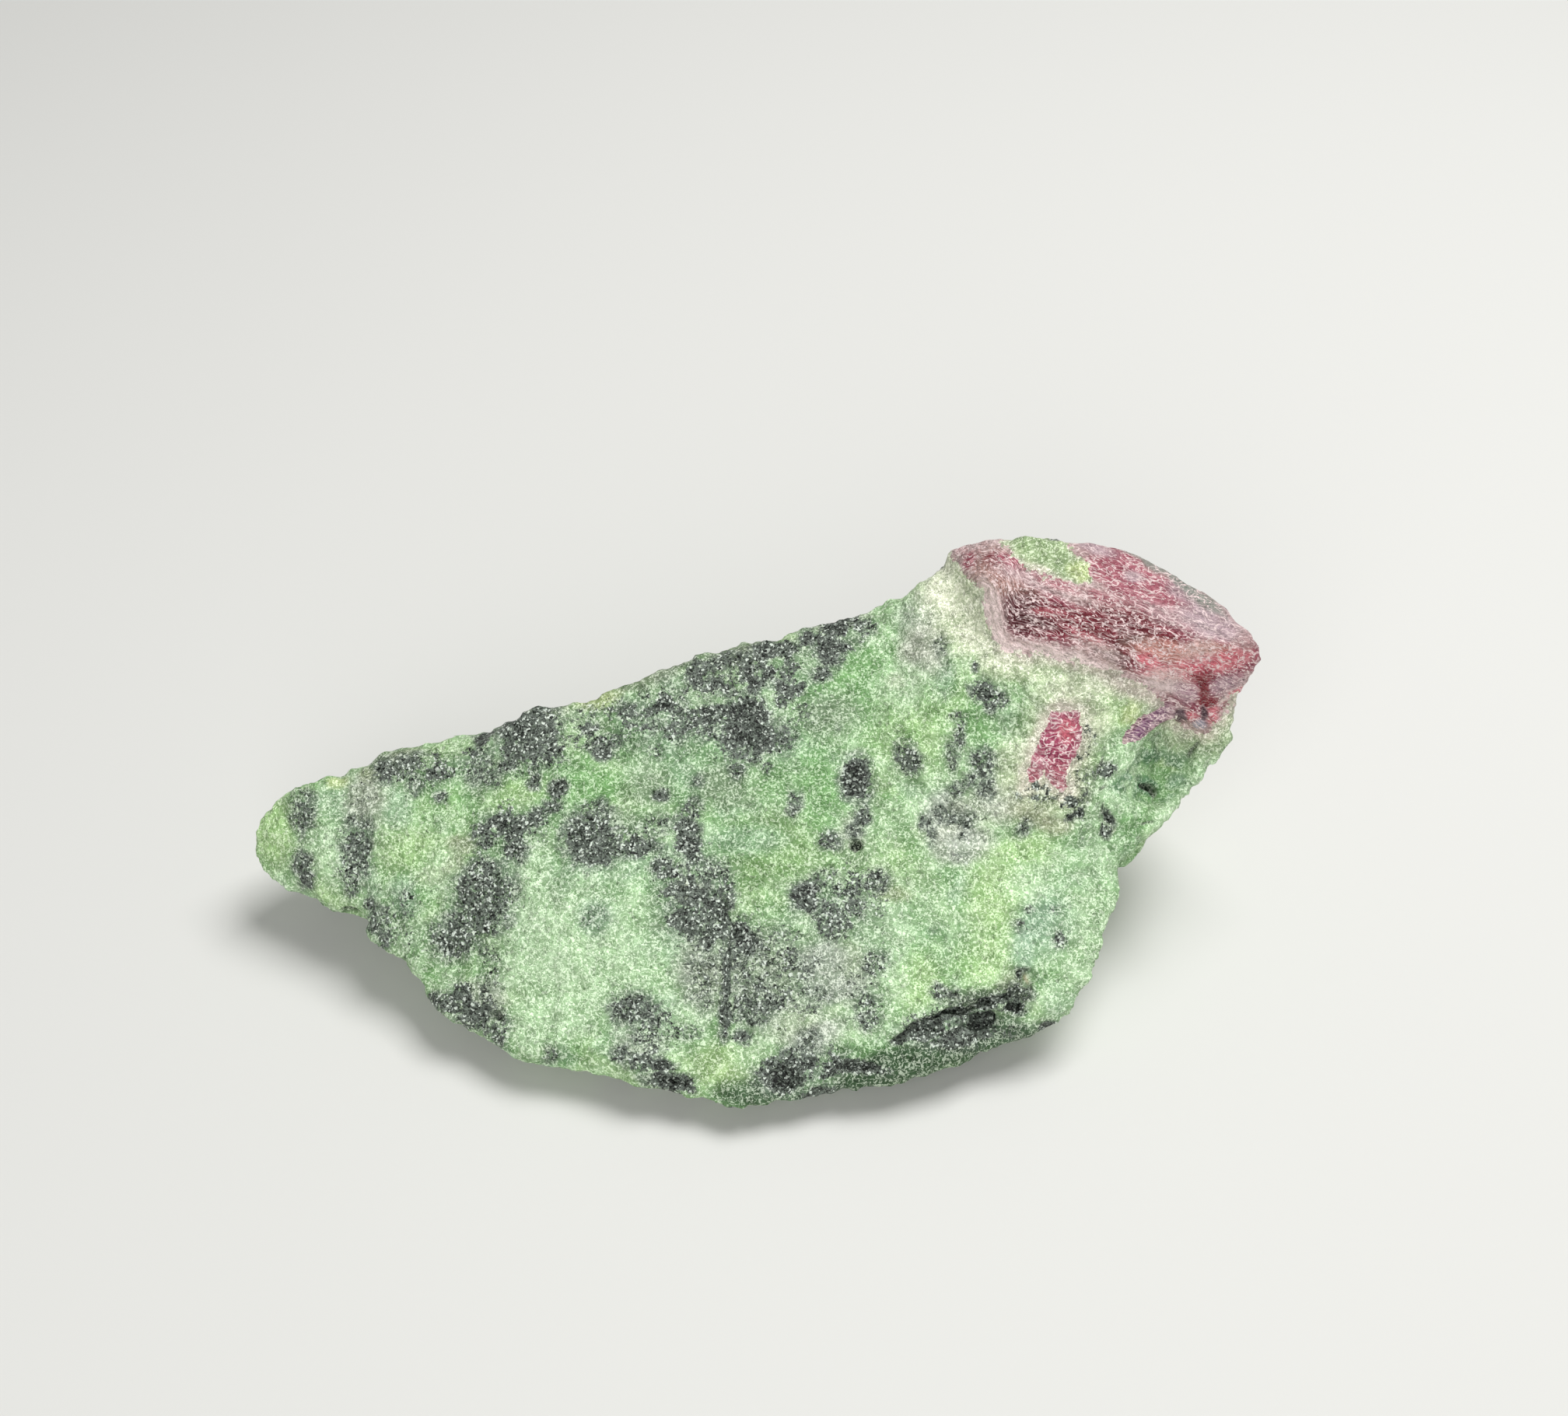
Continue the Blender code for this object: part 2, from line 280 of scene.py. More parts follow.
@dataclass
class Skin:
    """The points of the stone's surface as the marks read them."""

    sight: Sight
    points: np.ndarray
    normals: np.ndarray
    tree: BVHTree
    columns: np.ndarray = field(init=False)
    rows: np.ndarray = field(init=False)
    depths: np.ndarray = field(init=False)
    facing: np.ndarray = field(init=False)
    fray: np.ndarray = field(init=False)

    def __post_init__(self) -> None:
        """Work out where each point is seen, and the noise that frays the marks' edges."""
        self.columns, self.rows, self.depths = self.sight.project(self.points)
        to_eye = np.array(self.sight.eye) - self.points
        to_eye /= np.linalg.norm(to_eye, axis=1)[:, None]
        self.facing = (self.normals * to_eye).sum(axis=1)
        self.fray = 0.6 * BROAD_FRAY.read(self) + 0.4 * FINE_FRAY.read(self)

    @property
    def scale(self) -> np.ndarray:
        """Pixels of the picture in a millimetre, at each point."""
        return self.sight.focal / self.depths

    @property
    def hidden(self) -> np.ndarray:
        """How far each point is turned away from the camera, from 0 to 1."""
        return smoothstep(0.1, -0.15, self.facing)

    def noise(self, size: float, seed: float) -> np.ndarray:
        """Read smooth noise at every point.

        Args:
            size: the width of its lumps.
            seed: moves the noise, so that two calls differ.

        Returns:
            Values from about -1 to 1.
        """
        shift = Vector((seed * 17.31, seed * 5.77, seed * 11.13))
        return np.array([noise.noise(Vector(p) / size + shift) for p in self.points])

    def fractal(self, size: float, octaves: int, seed: float) -> np.ndarray:
        """Read noise of several sizes at once at every point.

        Args:
            size: the width of its largest lumps.
            octaves: how many halvings of that size are added.
            seed: moves the noise.

        Returns:
            Values from about -1 to 1.
        """
        shift = Vector((seed * 9.17, seed * 13.9, seed * 3.31))
        return np.array(
            [noise.fractal(Vector(p) / size + shift, 0.9, 2.1, octaves) for p in self.points]
        )

    def facets(self, lumps: Lumps) -> np.ndarray:
        """Read the height of small flat faces, each tilted its own way, at every point.

        Args:
            lumps: the width of a face and its seed.

        Returns:
            Values from about -0.4 to 0.4.
        """
        shift = Vector((lumps.seed * 3.71, lumps.seed * 7.13, lumps.seed * 1.93))
        level = Vector((0.5, 0.5, 0.5))
        heights = []
        for point in self.points:
            place = Vector(point) / lumps.size + shift
            gaps, seats = noise.voronoi(place)
            weights = [math.exp((gaps[0] - gap) / FACET_SEAM) for gap in gaps]
            tilts = [(place - seat).dot(noise.cell_vector(seat) - level) for seat in seats]
            heights.append(sum(w * tilt for w, tilt in zip(weights, tilts)) / sum(weights))
        return np.array(heights)

    def point_at(self, column: float, row: float) -> np.ndarray:
        """The point of the stone's skin behind one pixel.

        Args:
            column: the pixel's column.
            row: its row.

        Returns:
            The point, in millimetres.
        """
        hit = self.tree.ray_cast(Vector(self.sight.eye), self.sight.ray(column, row))[0]
        if hit is None:
            return self.points[np.hypot(self.columns - column, self.rows - row).argmin()]
        return np.array(hit)

    def depth_at(self, column: float, row: float) -> float:
        """How far in front of the camera the stone's skin is, behind one pixel."""
        return float((self.point_at(column, row) - np.array(self.sight.eye)) @ self.sight.axes()[2])

    def gap_to(self, route: Sequence[tuple[float, float]]) -> tuple[np.ndarray, np.ndarray]:
        """Measure how far from a crooked line each point is seen.

        Args:
            route: the line's corners, in pixels of the camera's picture.

        Returns:
            The pixels between each point and the line, and how far along the line that is, from 0 to 1.
        """
        p = np.stack((self.columns, self.rows), axis=1)
        corners = np.array(route, float)
        gap = np.full(len(p), 1e9)
        along = np.zeros(len(p))
        for i, (a, b) in enumerate(zip(corners[:-1], corners[1:])):
            side = b - a
            t = np.clip(((p - a) @ side) / (side @ side), 0.0, 1.0)
            here = np.linalg.norm(p - a - t[:, None] * side, axis=1)
            along = np.where(here < gap, (i + t) / (len(corners) - 1), along)
            gap = np.minimum(gap, here)
        return gap, along


DEPTH_REACH = 1.2
OVAL_FRAY = 0.6
OVAL_FRAY_SHARE = 0.55
GROOVE_FRAY = 0.35
OUTLINE_FRAY = 0.9


@dataclass(frozen=True)
class Oval:
    """An oval mark on the skin. Its middle is a pixel of the camera's picture, its width and height are
    millimetres, and its top leans to the right by some degrees. The edge is the share of it that fades."""

    column: float
    row: float
    wide: float
    tall: float
    strength: float = 1.0
    lean: float = 0.0
    edge: float = 0.35

    def cover(self, skin: Skin, grow: float = 1.0) -> np.ndarray:
        """Measure how much of the mark each point of the skin has.

        Args:
            skin: the points.
            grow: how many times larger than itself the mark is taken to be.

        Returns:
            Values from 0 to the mark's strength.
        """
        right = (skin.columns - self.column) / skin.scale
        down = (skin.rows - self.row) / skin.scale
        turn = math.radians(self.lean)
        x = right * math.cos(turn) + down * math.sin(turn)
        y = down * math.cos(turn) - right * math.sin(turn)
        z = skin.depths - skin.depth_at(self.column, self.row)
        reach = DEPTH_REACH * max(self.wide, self.tall)
        out = np.sqrt((2 * x / self.wide) ** 2 + (2 * y / self.tall) ** 2 + (2 * z / reach) ** 2)
        frayed = min(OVAL_FRAY_SHARE, OVAL_FRAY / min(self.wide, self.tall))
        out = out / grow + skin.fray * frayed
        return self.strength * smoothstep(1.0 + self.edge, 1.0 - self.edge, out)


@dataclass(frozen=True)
class Stain(Oval):
    """An oval mark that changes the colour of the mineral under it."""

    edge: float = 0.5
    tone: Tone = Tone.GREEN


@dataclass(frozen=True)
class Pit(Oval):
    """An oval hole in the skin."""

    deep: float = 0.4


@dataclass(frozen=True)
class Groove:
    """A crooked cut in the skin. Its points are the picture's pixels, and its sizes millimetres."""

    points: tuple[tuple[float, float], ...]
    wide: float
    deep: float

    def cover(self, skin: Skin, grow: float = 1.0) -> np.ndarray:
        """Measure how far down the cut each point of the skin lies.

        Args:
            skin: the points.
            grow: how many times wider than itself the cut is taken to be.

        Returns:
            Values from 0 on the skin to 1 along the cut's bottom.
        """
        gap, along = skin.gap_to(self.points)
        taper = 1.0 - (2.0 * along - 1.0) ** 4
        out = gap / skin.scale / (self.wide / 2 * grow) + GROOVE_FRAY * skin.fray
        seen = smoothstep(-0.1, 0.2, skin.facing)
        return smoothstep(1.2, 0.1, out) * taper * seen


@dataclass(frozen=True)
class Outline:
    """A many-sided area of the skin. Its corners are pixels of the camera's picture, and it goes deep into
    the stone behind them."""

    corners: tuple[tuple[float, float], ...]
    deep: float
    soft: float = 10.0

    def inside(self, skin: Skin) -> np.ndarray:
        """How many pixels each point lies inside the outline, less than 0 outside it.

        Args:
            skin: the points.

        Returns:
            The distances, in pixels.
        """
        closed = (*self.corners, self.corners[0])
        nearest, _ = skin.gap_to(closed)
        odd = np.zeros(len(skin.points), bool)
        for (left, top), (right, bottom) in zip(closed[:-1], closed[1:]):
            if top != bottom:
                at = left + (skin.rows - top) / (bottom - top) * (right - left)
                odd ^= ((top > skin.rows) != (bottom > skin.rows)) & (skin.columns < at)
        return np.where(odd, nearest, -nearest)

    def cover(self, skin: Skin) -> np.ndarray:
        """How much of the area each point of the skin has, from 0 to 1.

        Args:
            skin: the points.

        Returns:
            Values from 0 to 1.
        """
        middle = np.array(self.corners, float).mean(axis=0)
        below = skin.depths - skin.depth_at(*middle) - self.deep
        inside = self.inside(skin) + self.soft * OUTLINE_FRAY * skin.fray
        flat = smoothstep(-self.soft, self.soft, inside)
        return flat * smoothstep(1.5, -1.5, below + 2.0 * skin.fray)


@dataclass(frozen=True)
class Window:
    """A part of the camera's picture, in its pixels."""

    left: float
    top: float
    right: float
    bottom: float

    def frames(self, columns: np.ndarray, rows: np.ndarray) -> np.ndarray:
        """Which of some pixels it holds."""
        across = (columns > self.left) & (columns < self.right)
        return across & (rows > self.top) & (rows < self.bottom)


# ---------------------------------------------------------------------------------------------------------
# The marks
# ---------------------------------------------------------------------------------------------------------


def ovals(*rows: tuple[float, ...], edge: float = Oval.edge) -> tuple[Oval, ...]:
    """Read a table of ovals.

    Args:
        rows: the numbers of each oval, from its column to its strength or its lean.
        edge: the edge that all of them have.

    Returns:
        The ovals.
    """
    return tuple(Oval(*row, edge=edge) for row in rows)


def stains(*rows: tuple[Tone | float, ...]) -> tuple[Stain, ...]:
    """Read a table of stains: each row is a tone, and an oval's numbers from its column on."""
    return tuple(Stain(*oval, tone=tone) for tone, *oval in rows)


# The patches of hornblende. Their strength is the share of their grains that are black, and the soft ones
# are a thin haze of it that comes and goes.

SOFT_FLECKS = ovals(
    (975, 1252, 9.4, 7.6, 0.36), (1084, 1160, 6.4, 5.4, 0.36), (890, 902, 12.0, 5.6, 0.5, -30),
    (950, 876, 7.4, 2.8, 0.62, -14), (1016, 876, 3.4, 2.6, 0.62, -20), (874, 884, 2.4, 2.2, 0.5),
    (975, 850, 9.0, 3.0, 0.44, -24), (1066, 815, 5.4, 3.4, 0.72, -24), (1042, 903, 3.8, 3.8, 0.22),
    (780, 935, 7.0, 4.0, 0.3, -20), (892, 1160, 5.2, 6.4, 0.56, -25), (800, 1085, 5.0, 3.0, 0.34),
    (680, 952, 6.0, 5.0, 0.5), (560, 985, 8.0, 2.6, 0.4, -18), (460, 1095, 3.8, 8.0, 0.14, -8),
    (500, 1190, 3.0, 6.0, 0.24, -35), (1245, 1040, 4.4, 4.4, 0.12), (1390, 1040, 3.4, 5.4, 0.12, 25),
    (1345, 1015, 3.2, 3.2, 0.26), (620, 1165, 7.0, 7.0, 0.2), (650, 1068, 6.0, 3.8, 0.46, -10),
    (1112, 1275, 3.4, 5.2, 0.22), (962, 935, 6.0, 5.4, 0.5), (600, 1300, 5.0, 4.4, 0.46, 30),
    (830, 1320, 5.0, 4.6, 0.28), (1225, 1306, 9.0, 2.2, 0.34, -18), (1012, 1382, 5.0, 2.8, 0.52),
    (1060, 1366, 4.6, 2.6, 0.56, -10),
    edge=0.6,
)

FLECKS = ovals(
    # the narrow tip
    (390, 1022, 1.5, 1.2, 0.5), (388, 1050, 1.5, 2.6, 0.62, -12), (390, 1111, 1.5, 1.6, 0.66),
    (394, 1133, 0.9, 1.9, 0.8, 30), (466, 1022, 2.2, 3.2, 0.24), (458, 1066, 2.0, 1.8, 0.5),
    (458, 1102, 2.0, 3.6, 0.66, 6), (437, 1076, 1.0, 1.6, 0.26), (452, 1139, 1.3, 1.5, 0.58),
    (475, 1162, 1.2, 1.0, 0.6), (486, 1183, 1.6, 2.0, 0.55), (494, 1208, 1.1, 1.3, 0.62),
    (524, 1163, 1.0, 1.9, 0.42), (496, 990, 1.9, 1.6, 0.74, 20), (528, 981, 2.2, 1.1, 0.74),
    (533, 1010, 1.0, 1.9, 0.5), (567, 1024, 1.1, 0.7, 0.7),
    # the back edge
    (624, 944, 1.3, 2.2, 1.1), (617, 985, 2.0, 2.4, 0.48, 15), (632, 1005, 1.1, 1.2, 0.45),
    (660, 932, 2.6, 2.4, 0.95), (694, 940, 2.6, 4.4, 0.8, 8), (668, 962, 3.0, 2.0, 0.68),
    (652, 984, 1.9, 1.0, 0.66), (753, 920, 1.5, 1.4, 0.42), (758, 936, 1.4, 1.1, 0.8),
    (770, 958, 1.6, 1.4, 0.74), (787, 954, 1.1, 0.9, 0.64), (775, 968, 1.2, 0.8, 0.88),
    (806, 915, 1.4, 1.2, 0.7), (830, 934, 2.7, 1.3, 0.5), (853, 897, 1.5, 1.0, 0.5),
    (880, 920, 2.0, 1.6, 0.55), (868, 940, 1.5, 1.6, 0.6), (905, 935, 1.9, 1.9, 0.54),
    (905, 880, 1.9, 1.4, 0.64), (900, 858, 1.3, 1.4, 0.86), (930, 868, 4.2, 3.2, 0.46, -20),
    (928, 850, 1.5, 1.4, 0.7), (965, 862, 2.2, 2.0, 0.42), (962, 918, 2.6, 2.2, 1.2),
    (952, 940, 2.2, 2.2, 1.1, 20), (980, 950, 2.0, 2.2, 1.0, -30), (1006, 950, 1.8, 1.9, 0.62),
    (960, 968, 2.2, 1.4, 0.66), (948, 987, 1.2, 1.3, 0.5), (985, 985, 0.9, 0.9, 0.48),
    (1012, 880, 1.5, 2.9, 0.66, 4), (1006, 903, 1.1, 0.9, 0.64), (984, 834, 1.8, 1.4, 1.1),
    (1066, 834, 1.7, 2.4, 0.92), (1074, 806, 1.9, 1.6, 1.1), (1058, 864, 1.2, 1.1, 0.76),
    (1112, 806, 2.0, 1.0, 0.6), (1077, 936, 0.6, 0.6, 0.34),
    # the middle of the broad face
    (686, 1007, 1.0, 1.0, 0.68), (718, 1016, 1.2, 1.4, 0.96), (708, 1036, 1.6, 1.0, 0.72),
    (690, 1048, 1.3, 1.4, 0.76, 25), (661, 1062, 2.0, 1.8, 0.78), (663, 1088, 1.6, 2.0, 0.76),
    (622, 1071, 1.6, 1.7, 0.6), (770, 1040, 2.6, 1.1, 0.52, 12), (757, 1076, 3.2, 3.6, 0.84),
    (764, 1103, 2.3, 1.2, 0.8), (820, 1090, 3.0, 1.3, 0.76), (843, 1062, 1.8, 1.6, 0.42),
    (888, 1042, 1.5, 1.6, 0.58), (883, 1066, 1.5, 1.8, 0.86), (885, 1086, 1.5, 1.7, 1.1),
    (850, 1021, 1.0, 0.7, 0.9), (897, 1006, 1.0, 0.9, 0.46), (1020, 1036, 0.9, 1.7, 0.6, 8),
    (1101, 1001, 1.9, 2.6, 1.2), (1109, 1052, 1.1, 1.2, 0.88), (1099, 1068, 1.1, 1.0, 0.6),
    (1066, 1081, 1.3, 1.4, 0.62), (1158, 950, 1.5, 1.5, 0.22), (1168, 977, 1.5, 2.1, 0.74, -18),
    (620, 1122, 2.2, 1.8, 0.74), (622, 1152, 3.8, 3.6, 0.74, -25), (612, 1182, 4.6, 2.6, 0.7, -25),
    (584, 1210, 3.0, 2.2, 0.72, -18), (560, 1196, 0.8, 1.2, 0.48), (630, 1232, 1.4, 2.4, 0.38),
    (630, 1262, 1.6, 1.6, 0.38), (764, 1180, 1.7, 1.6, 0.3),
    # the dark streak down it
    (853, 1115, 1.7, 1.2, 0.76, 40), (866, 1136, 1.3, 1.2, 0.3), (884, 1150, 1.9, 2.4, 0.86, -30),
    (903, 1120, 3.0, 1.8, 0.5), (932, 1150, 1.1, 3.4, 0.66), (900, 1184, 3.4, 2.0, 0.7),
    (922, 1186, 1.8, 2.4, 0.82, -20), (956, 1207, 1.6, 2.2, 1.1, -20), (934, 1255, 0.6, 3.6, 0.9),
    (932, 1300, 0.8, 3.0, 0.8), (910, 1212, 1.0, 1.0, 0.78), (905, 1255, 2.4, 4.2, 0.4),
    (965, 1250, 3.4, 5.0, 0.42), (970, 1300, 2.4, 2.2, 0.52), (994, 1287, 1.7, 1.4, 0.62),
    (1012, 1236, 2.6, 2.2, 0.4), (1020, 1268, 1.6, 1.2, 0.28), (1044, 1286, 2.8, 1.8, 0.4),
    (1000, 1212, 2.8, 1.8, 0.38), (884, 1328, 2.0, 1.0, 0.4), (954, 1333, 1.1, 0.9, 0.78),
    (1040, 1344, 1.5, 2.2, 0.46), (1020, 1358, 2.0, 1.2, 0.62),
    # its lower part
    (1034, 1145, 1.7, 1.0, 1.2, -12), (1038, 1161, 1.4, 1.2, 0.9), (1060, 1128, 1.8, 1.0, 0.44, -25),
    (1086, 1158, 3.8, 3.0, 0.34), (1103, 1164, 1.5, 2.2, 0.46), (1066, 1190, 2.0, 1.8, 0.68),
    (1086, 1186, 1.3, 1.4, 0.56), (1130, 1131, 1.6, 1.4, 0.66), (1100, 1128, 1.8, 1.0, 0.24),
    (1124, 1240, 1.9, 1.5, 0.5, -25), (1110, 1266, 1.7, 1.8, 0.32), (1112, 1288, 1.5, 1.3, 0.54),
    (1116, 1310, 1.6, 1.4, 0.58), (1085, 1258, 1.6, 2.0, 0.28), (814, 1298, 2.7, 1.9, 0.72),
    (839, 1310, 1.2, 1.3, 0.62), (820, 1335, 0.9, 1.1, 0.48), (797, 1354, 1.0, 1.0, 0.8),
    (826, 1366, 1.7, 1.3, 0.6), (853, 1370, 1.4, 0.7, 1.1), (862, 1393, 3.0, 1.2, 1.2, 10),
    (706, 1355, 1.1, 1.2, 0.44), (607, 1304, 2.2, 1.7, 0.88, 20), (643, 1326, 1.2, 2.2, 0.56),
    (596, 1288, 1.4, 0.9, 0.34), (562, 1286, 1.5, 1.1, 0.74), (1006, 1388, 2.5, 1.7, 1.1),
    (1020, 1373, 1.7, 1.2, 1.0), (1106, 1373, 3.0, 0.8, 1.2, 6),
    # round the small ruby and the hollow
    (1253, 857, 0.5, 0.9, 0.7), (1266, 888, 1.8, 1.4, 0.8, 20), (1284, 900, 1.0, 1.0, 0.62),
    (1274, 909, 0.8, 0.8, 0.72), (1231, 922, 1.0, 0.7, 0.48), (1234, 944, 0.8, 2.2, 0.6, 8),
    (1224, 974, 0.7, 2.6, 0.52), (1263, 983, 1.5, 2.0, 0.62), (1248, 1002, 1.2, 0.8, 0.6, -30),
    (1230, 1014, 1.5, 1.1, 0.48, -35), (1267, 1014, 1.3, 1.5, 0.58), (1210, 832, 0.9, 1.3, 0.48),
    (1181, 848, 0.6, 0.6, 0.24), (1214, 1046, 1.5, 1.4, 0.48), (1243, 1058, 1.2, 1.2, 0.56),
    (1226, 1054, 0.8, 0.5, 0.74), (1188, 1056, 0.8, 1.1, 0.6), (1197, 1076, 0.6, 1.2, 0.52),
    (1238, 1076, 0.6, 0.6, 0.7), (1236, 1104, 1.2, 0.8, 0.34), (1316, 1065, 0.8, 1.2, 0.56, 30),
    (1332, 1012, 0.6, 0.9, 0.74, 25), (1345, 1014, 0.5, 0.9, 0.52, -20), (1311, 1023, 0.6, 0.6, 0.66),
    (1331, 1026, 0.8, 0.3, 0.7), (1376, 1032, 1.1, 1.0, 0.95), (1392, 1026, 0.8, 1.4, 0.58, 15),
    (1376, 1051, 0.5, 0.5, 1.2), (1388, 1046, 0.5, 0.7, 1.2), (1392, 1078, 0.3, 1.2, 0.5),
    (1395, 998, 1.4, 1.4, 0.4), (1420, 992, 1.0, 0.9, 0.78, 20), (1424, 991, 1.3, 0.8, 0.84, -35),
    (1392, 972, 1.2, 0.7, 0.46), (1398, 936, 0.5, 1.5, 0.46), (1422, 1068, 0.7, 1.0, 0.8, -10),
    (1426, 1052, 0.6, 1.0, 0.8, -35), (1528, 1010, 0.6, 0.7, 0.24), (1405, 955, 0.6, 1.6, 0.4, 20),
    (1385, 1000, 1.6, 1.6, 0.3), (1312, 1190, 0.8, 0.9, 0.46), (1322, 1170, 0.6, 0.5, 0.56),
    (1363, 1210, 0.7, 0.8, 0.8), (1355, 1170, 0.6, 0.6, 0.46),
    # the ledge
    (1164, 1334, 1.3, 0.5, 0.9, -28), (1192, 1323, 2.6, 1.2, 0.96, -16), (1206, 1309, 2.0, 0.6, 1.2, -16),
    (1236, 1301, 1.5, 0.5, 1.0, -10), (1268, 1291, 1.8, 0.7, 1.1, -14), (1292, 1284, 1.6, 0.7, 0.9, -14),
    (1305, 1295, 1.5, 0.9, 1.2), (1312, 1253, 0.9, 0.8, 0.84, -35), (1309, 1277, 1.7, 1.6, 0.64, -25),
    (1260, 1312, 1.9, 1.1, 1.0, -14), (1352, 1322, 1.8, 0.8, 1.1, 8), (1224, 1279, 1.1, 0.5, 0.52, -10),
    (1206, 1275, 1.0, 1.0, 0.66), (1240, 1334, 3.8, 1.3, 0.92, -14), (1052, 1410, 3.0, 1.2, 0.9, -10),
    (1290, 1328, 2.4, 1.0, 0.4, -6), (1236, 1287, 3.0, 0.8, 0.36, -14),
)

LEDGE = Groove(
    points=(
        (1144, 1340), (1163, 1332), (1176, 1317), (1199, 1309), (1220, 1301), (1242, 1299), (1258, 1290),
        (1276, 1288), (1298, 1281), (1308, 1272),
    ),
    wide=0.45,
    deep=0.65,
)
GROOVES = (
    LEDGE,
    Groove(((944, 1186), (938, 1215), (935, 1250), (933, 1290), (936, 1326)), 0.3, 0.25),
    Groove(((924, 1240), (930, 1252), (935, 1264)), 0.24, 0.2),
    Groove(((950, 1290), (942, 1300), (936, 1310)), 0.24, 0.2),
    Groove(((926, 1150), (932, 1170), (938, 1190)), 0.26, 0.2),
    Groove(((1082, 1376), (1106, 1371), (1132, 1374)), 0.7, 0.5),
    Groove(((1334, 1325), (1348, 1324), (1362, 1327)), 0.6, 0.4),
    Groove(((836, 1390), (860, 1393), (888, 1398)), 0.8, 0.5),
    Groove(((1217, 1281), (1224, 1278), (1234, 1280)), 0.3, 0.2),
    Groove(((1325, 1260), (1326, 1272), (1321, 1286), (1312, 1296)), 0.25, 0.25),
    Groove(((1294, 1292), (1305, 1296), (1318, 1296)), 0.8, 0.6),
    Groove(((1470, 1009), (1478, 1011), (1484, 1014), (1496, 1019)), 0.42, 0.55),
    Groove(((1420, 1045), (1425, 1051), (1432, 1059)), 0.34, 0.4),
    Groove(((1416, 1062), (1419, 1073)), 0.3, 0.25),
    Groove(((1413, 1016), (1423, 1010)), 0.24, 0.25),
    Groove(((1408, 1004), (1413, 986), (1421, 967)), 0.24, 0.22),
    Groove(((1527, 975), (1534, 966), (1542, 955)), 0.28, 0.35),
    Groove(((1467, 1060), (1484, 1056)), 0.25, 0.25),
    Groove(((1418, 1030), (1415, 1058)), 0.24, 0.15),
)
CREASES = (
    Groove(((1544, 872), (1548, 895), (1549, 912), (1550, 926)), 0.45, 0.3),
    Groove(((1474, 882), (1500, 893), (1514, 904)), 0.4, 0.2),
    Groove(((1560, 925), (1582, 905), (1600, 892)), 0.35, 0.25),
    Groove(((1514, 914), (1518, 924), (1526, 935)), 0.4, 0.25),
    Groove(((1470, 872), (1510, 882), (1540, 880), (1580, 872)), 0.5, 0.15),
    Groove(((1345, 762), (1400, 780), (1450, 796), (1520, 808)), 0.5, 0.12),
)
RIDGES = (
    Groove(((1548, 945), (1546, 975), (1536, 1008), (1513, 1031), (1488, 1056), (1470, 1078)), 1.3, -0.3),
    Groove(((1553, 938), (1572, 920), (1592, 906), (1606, 890)), 0.6, -0.12),
    Groove(((1440, 962), (1430, 985), (1424, 1002)), 0.4, -0.1),
    Groove(((1318, 1249), (1325, 1262), (1329, 1276)), 0.4, -0.15),
    Groove(((1176, 1306), (1199, 1299), (1222, 1292)), 0.7, -0.1),
)
PITS = (
    Pit(1100, 1086, 0.8, 0.7, deep=0.5), Pit(1312, 1253, 0.7, 0.6, lean=-25, deep=0.5),
    Pit(1260, 1312, 1.6, 0.8, lean=-14, deep=0.4), Pit(1187, 1322, 0.6, 0.5, deep=0.2),
    Pit(640, 1307, 0.6, 0.5, deep=0.5), Pit(1006, 1388, 2.2, 1.5, deep=0.5),
    Pit(853, 1370, 1.2, 0.5, deep=0.4), Pit(451, 1171, 0.9, 0.4, deep=0.4),
    Pit(1376, 1051, 0.5, 0.5, deep=0.4), Pit(1388, 1046, 0.5, 0.6, deep=0.4),
    Pit(655, 1077, 0.5, 0.4, deep=0.2), Pit(1020, 1047, 0.3, 0.4, deep=0.3),
)

HOLLOW = Outline(
    corners=(
        (1454, 988), (1472, 962), (1494, 933), (1510, 928), (1543, 945), (1538, 962), (1528, 980),
        (1528, 1004), (1514, 1022), (1488, 1032), (1450, 1030), (1426, 1012),
    ),
    deep=4.0,
    soft=6.0,
)

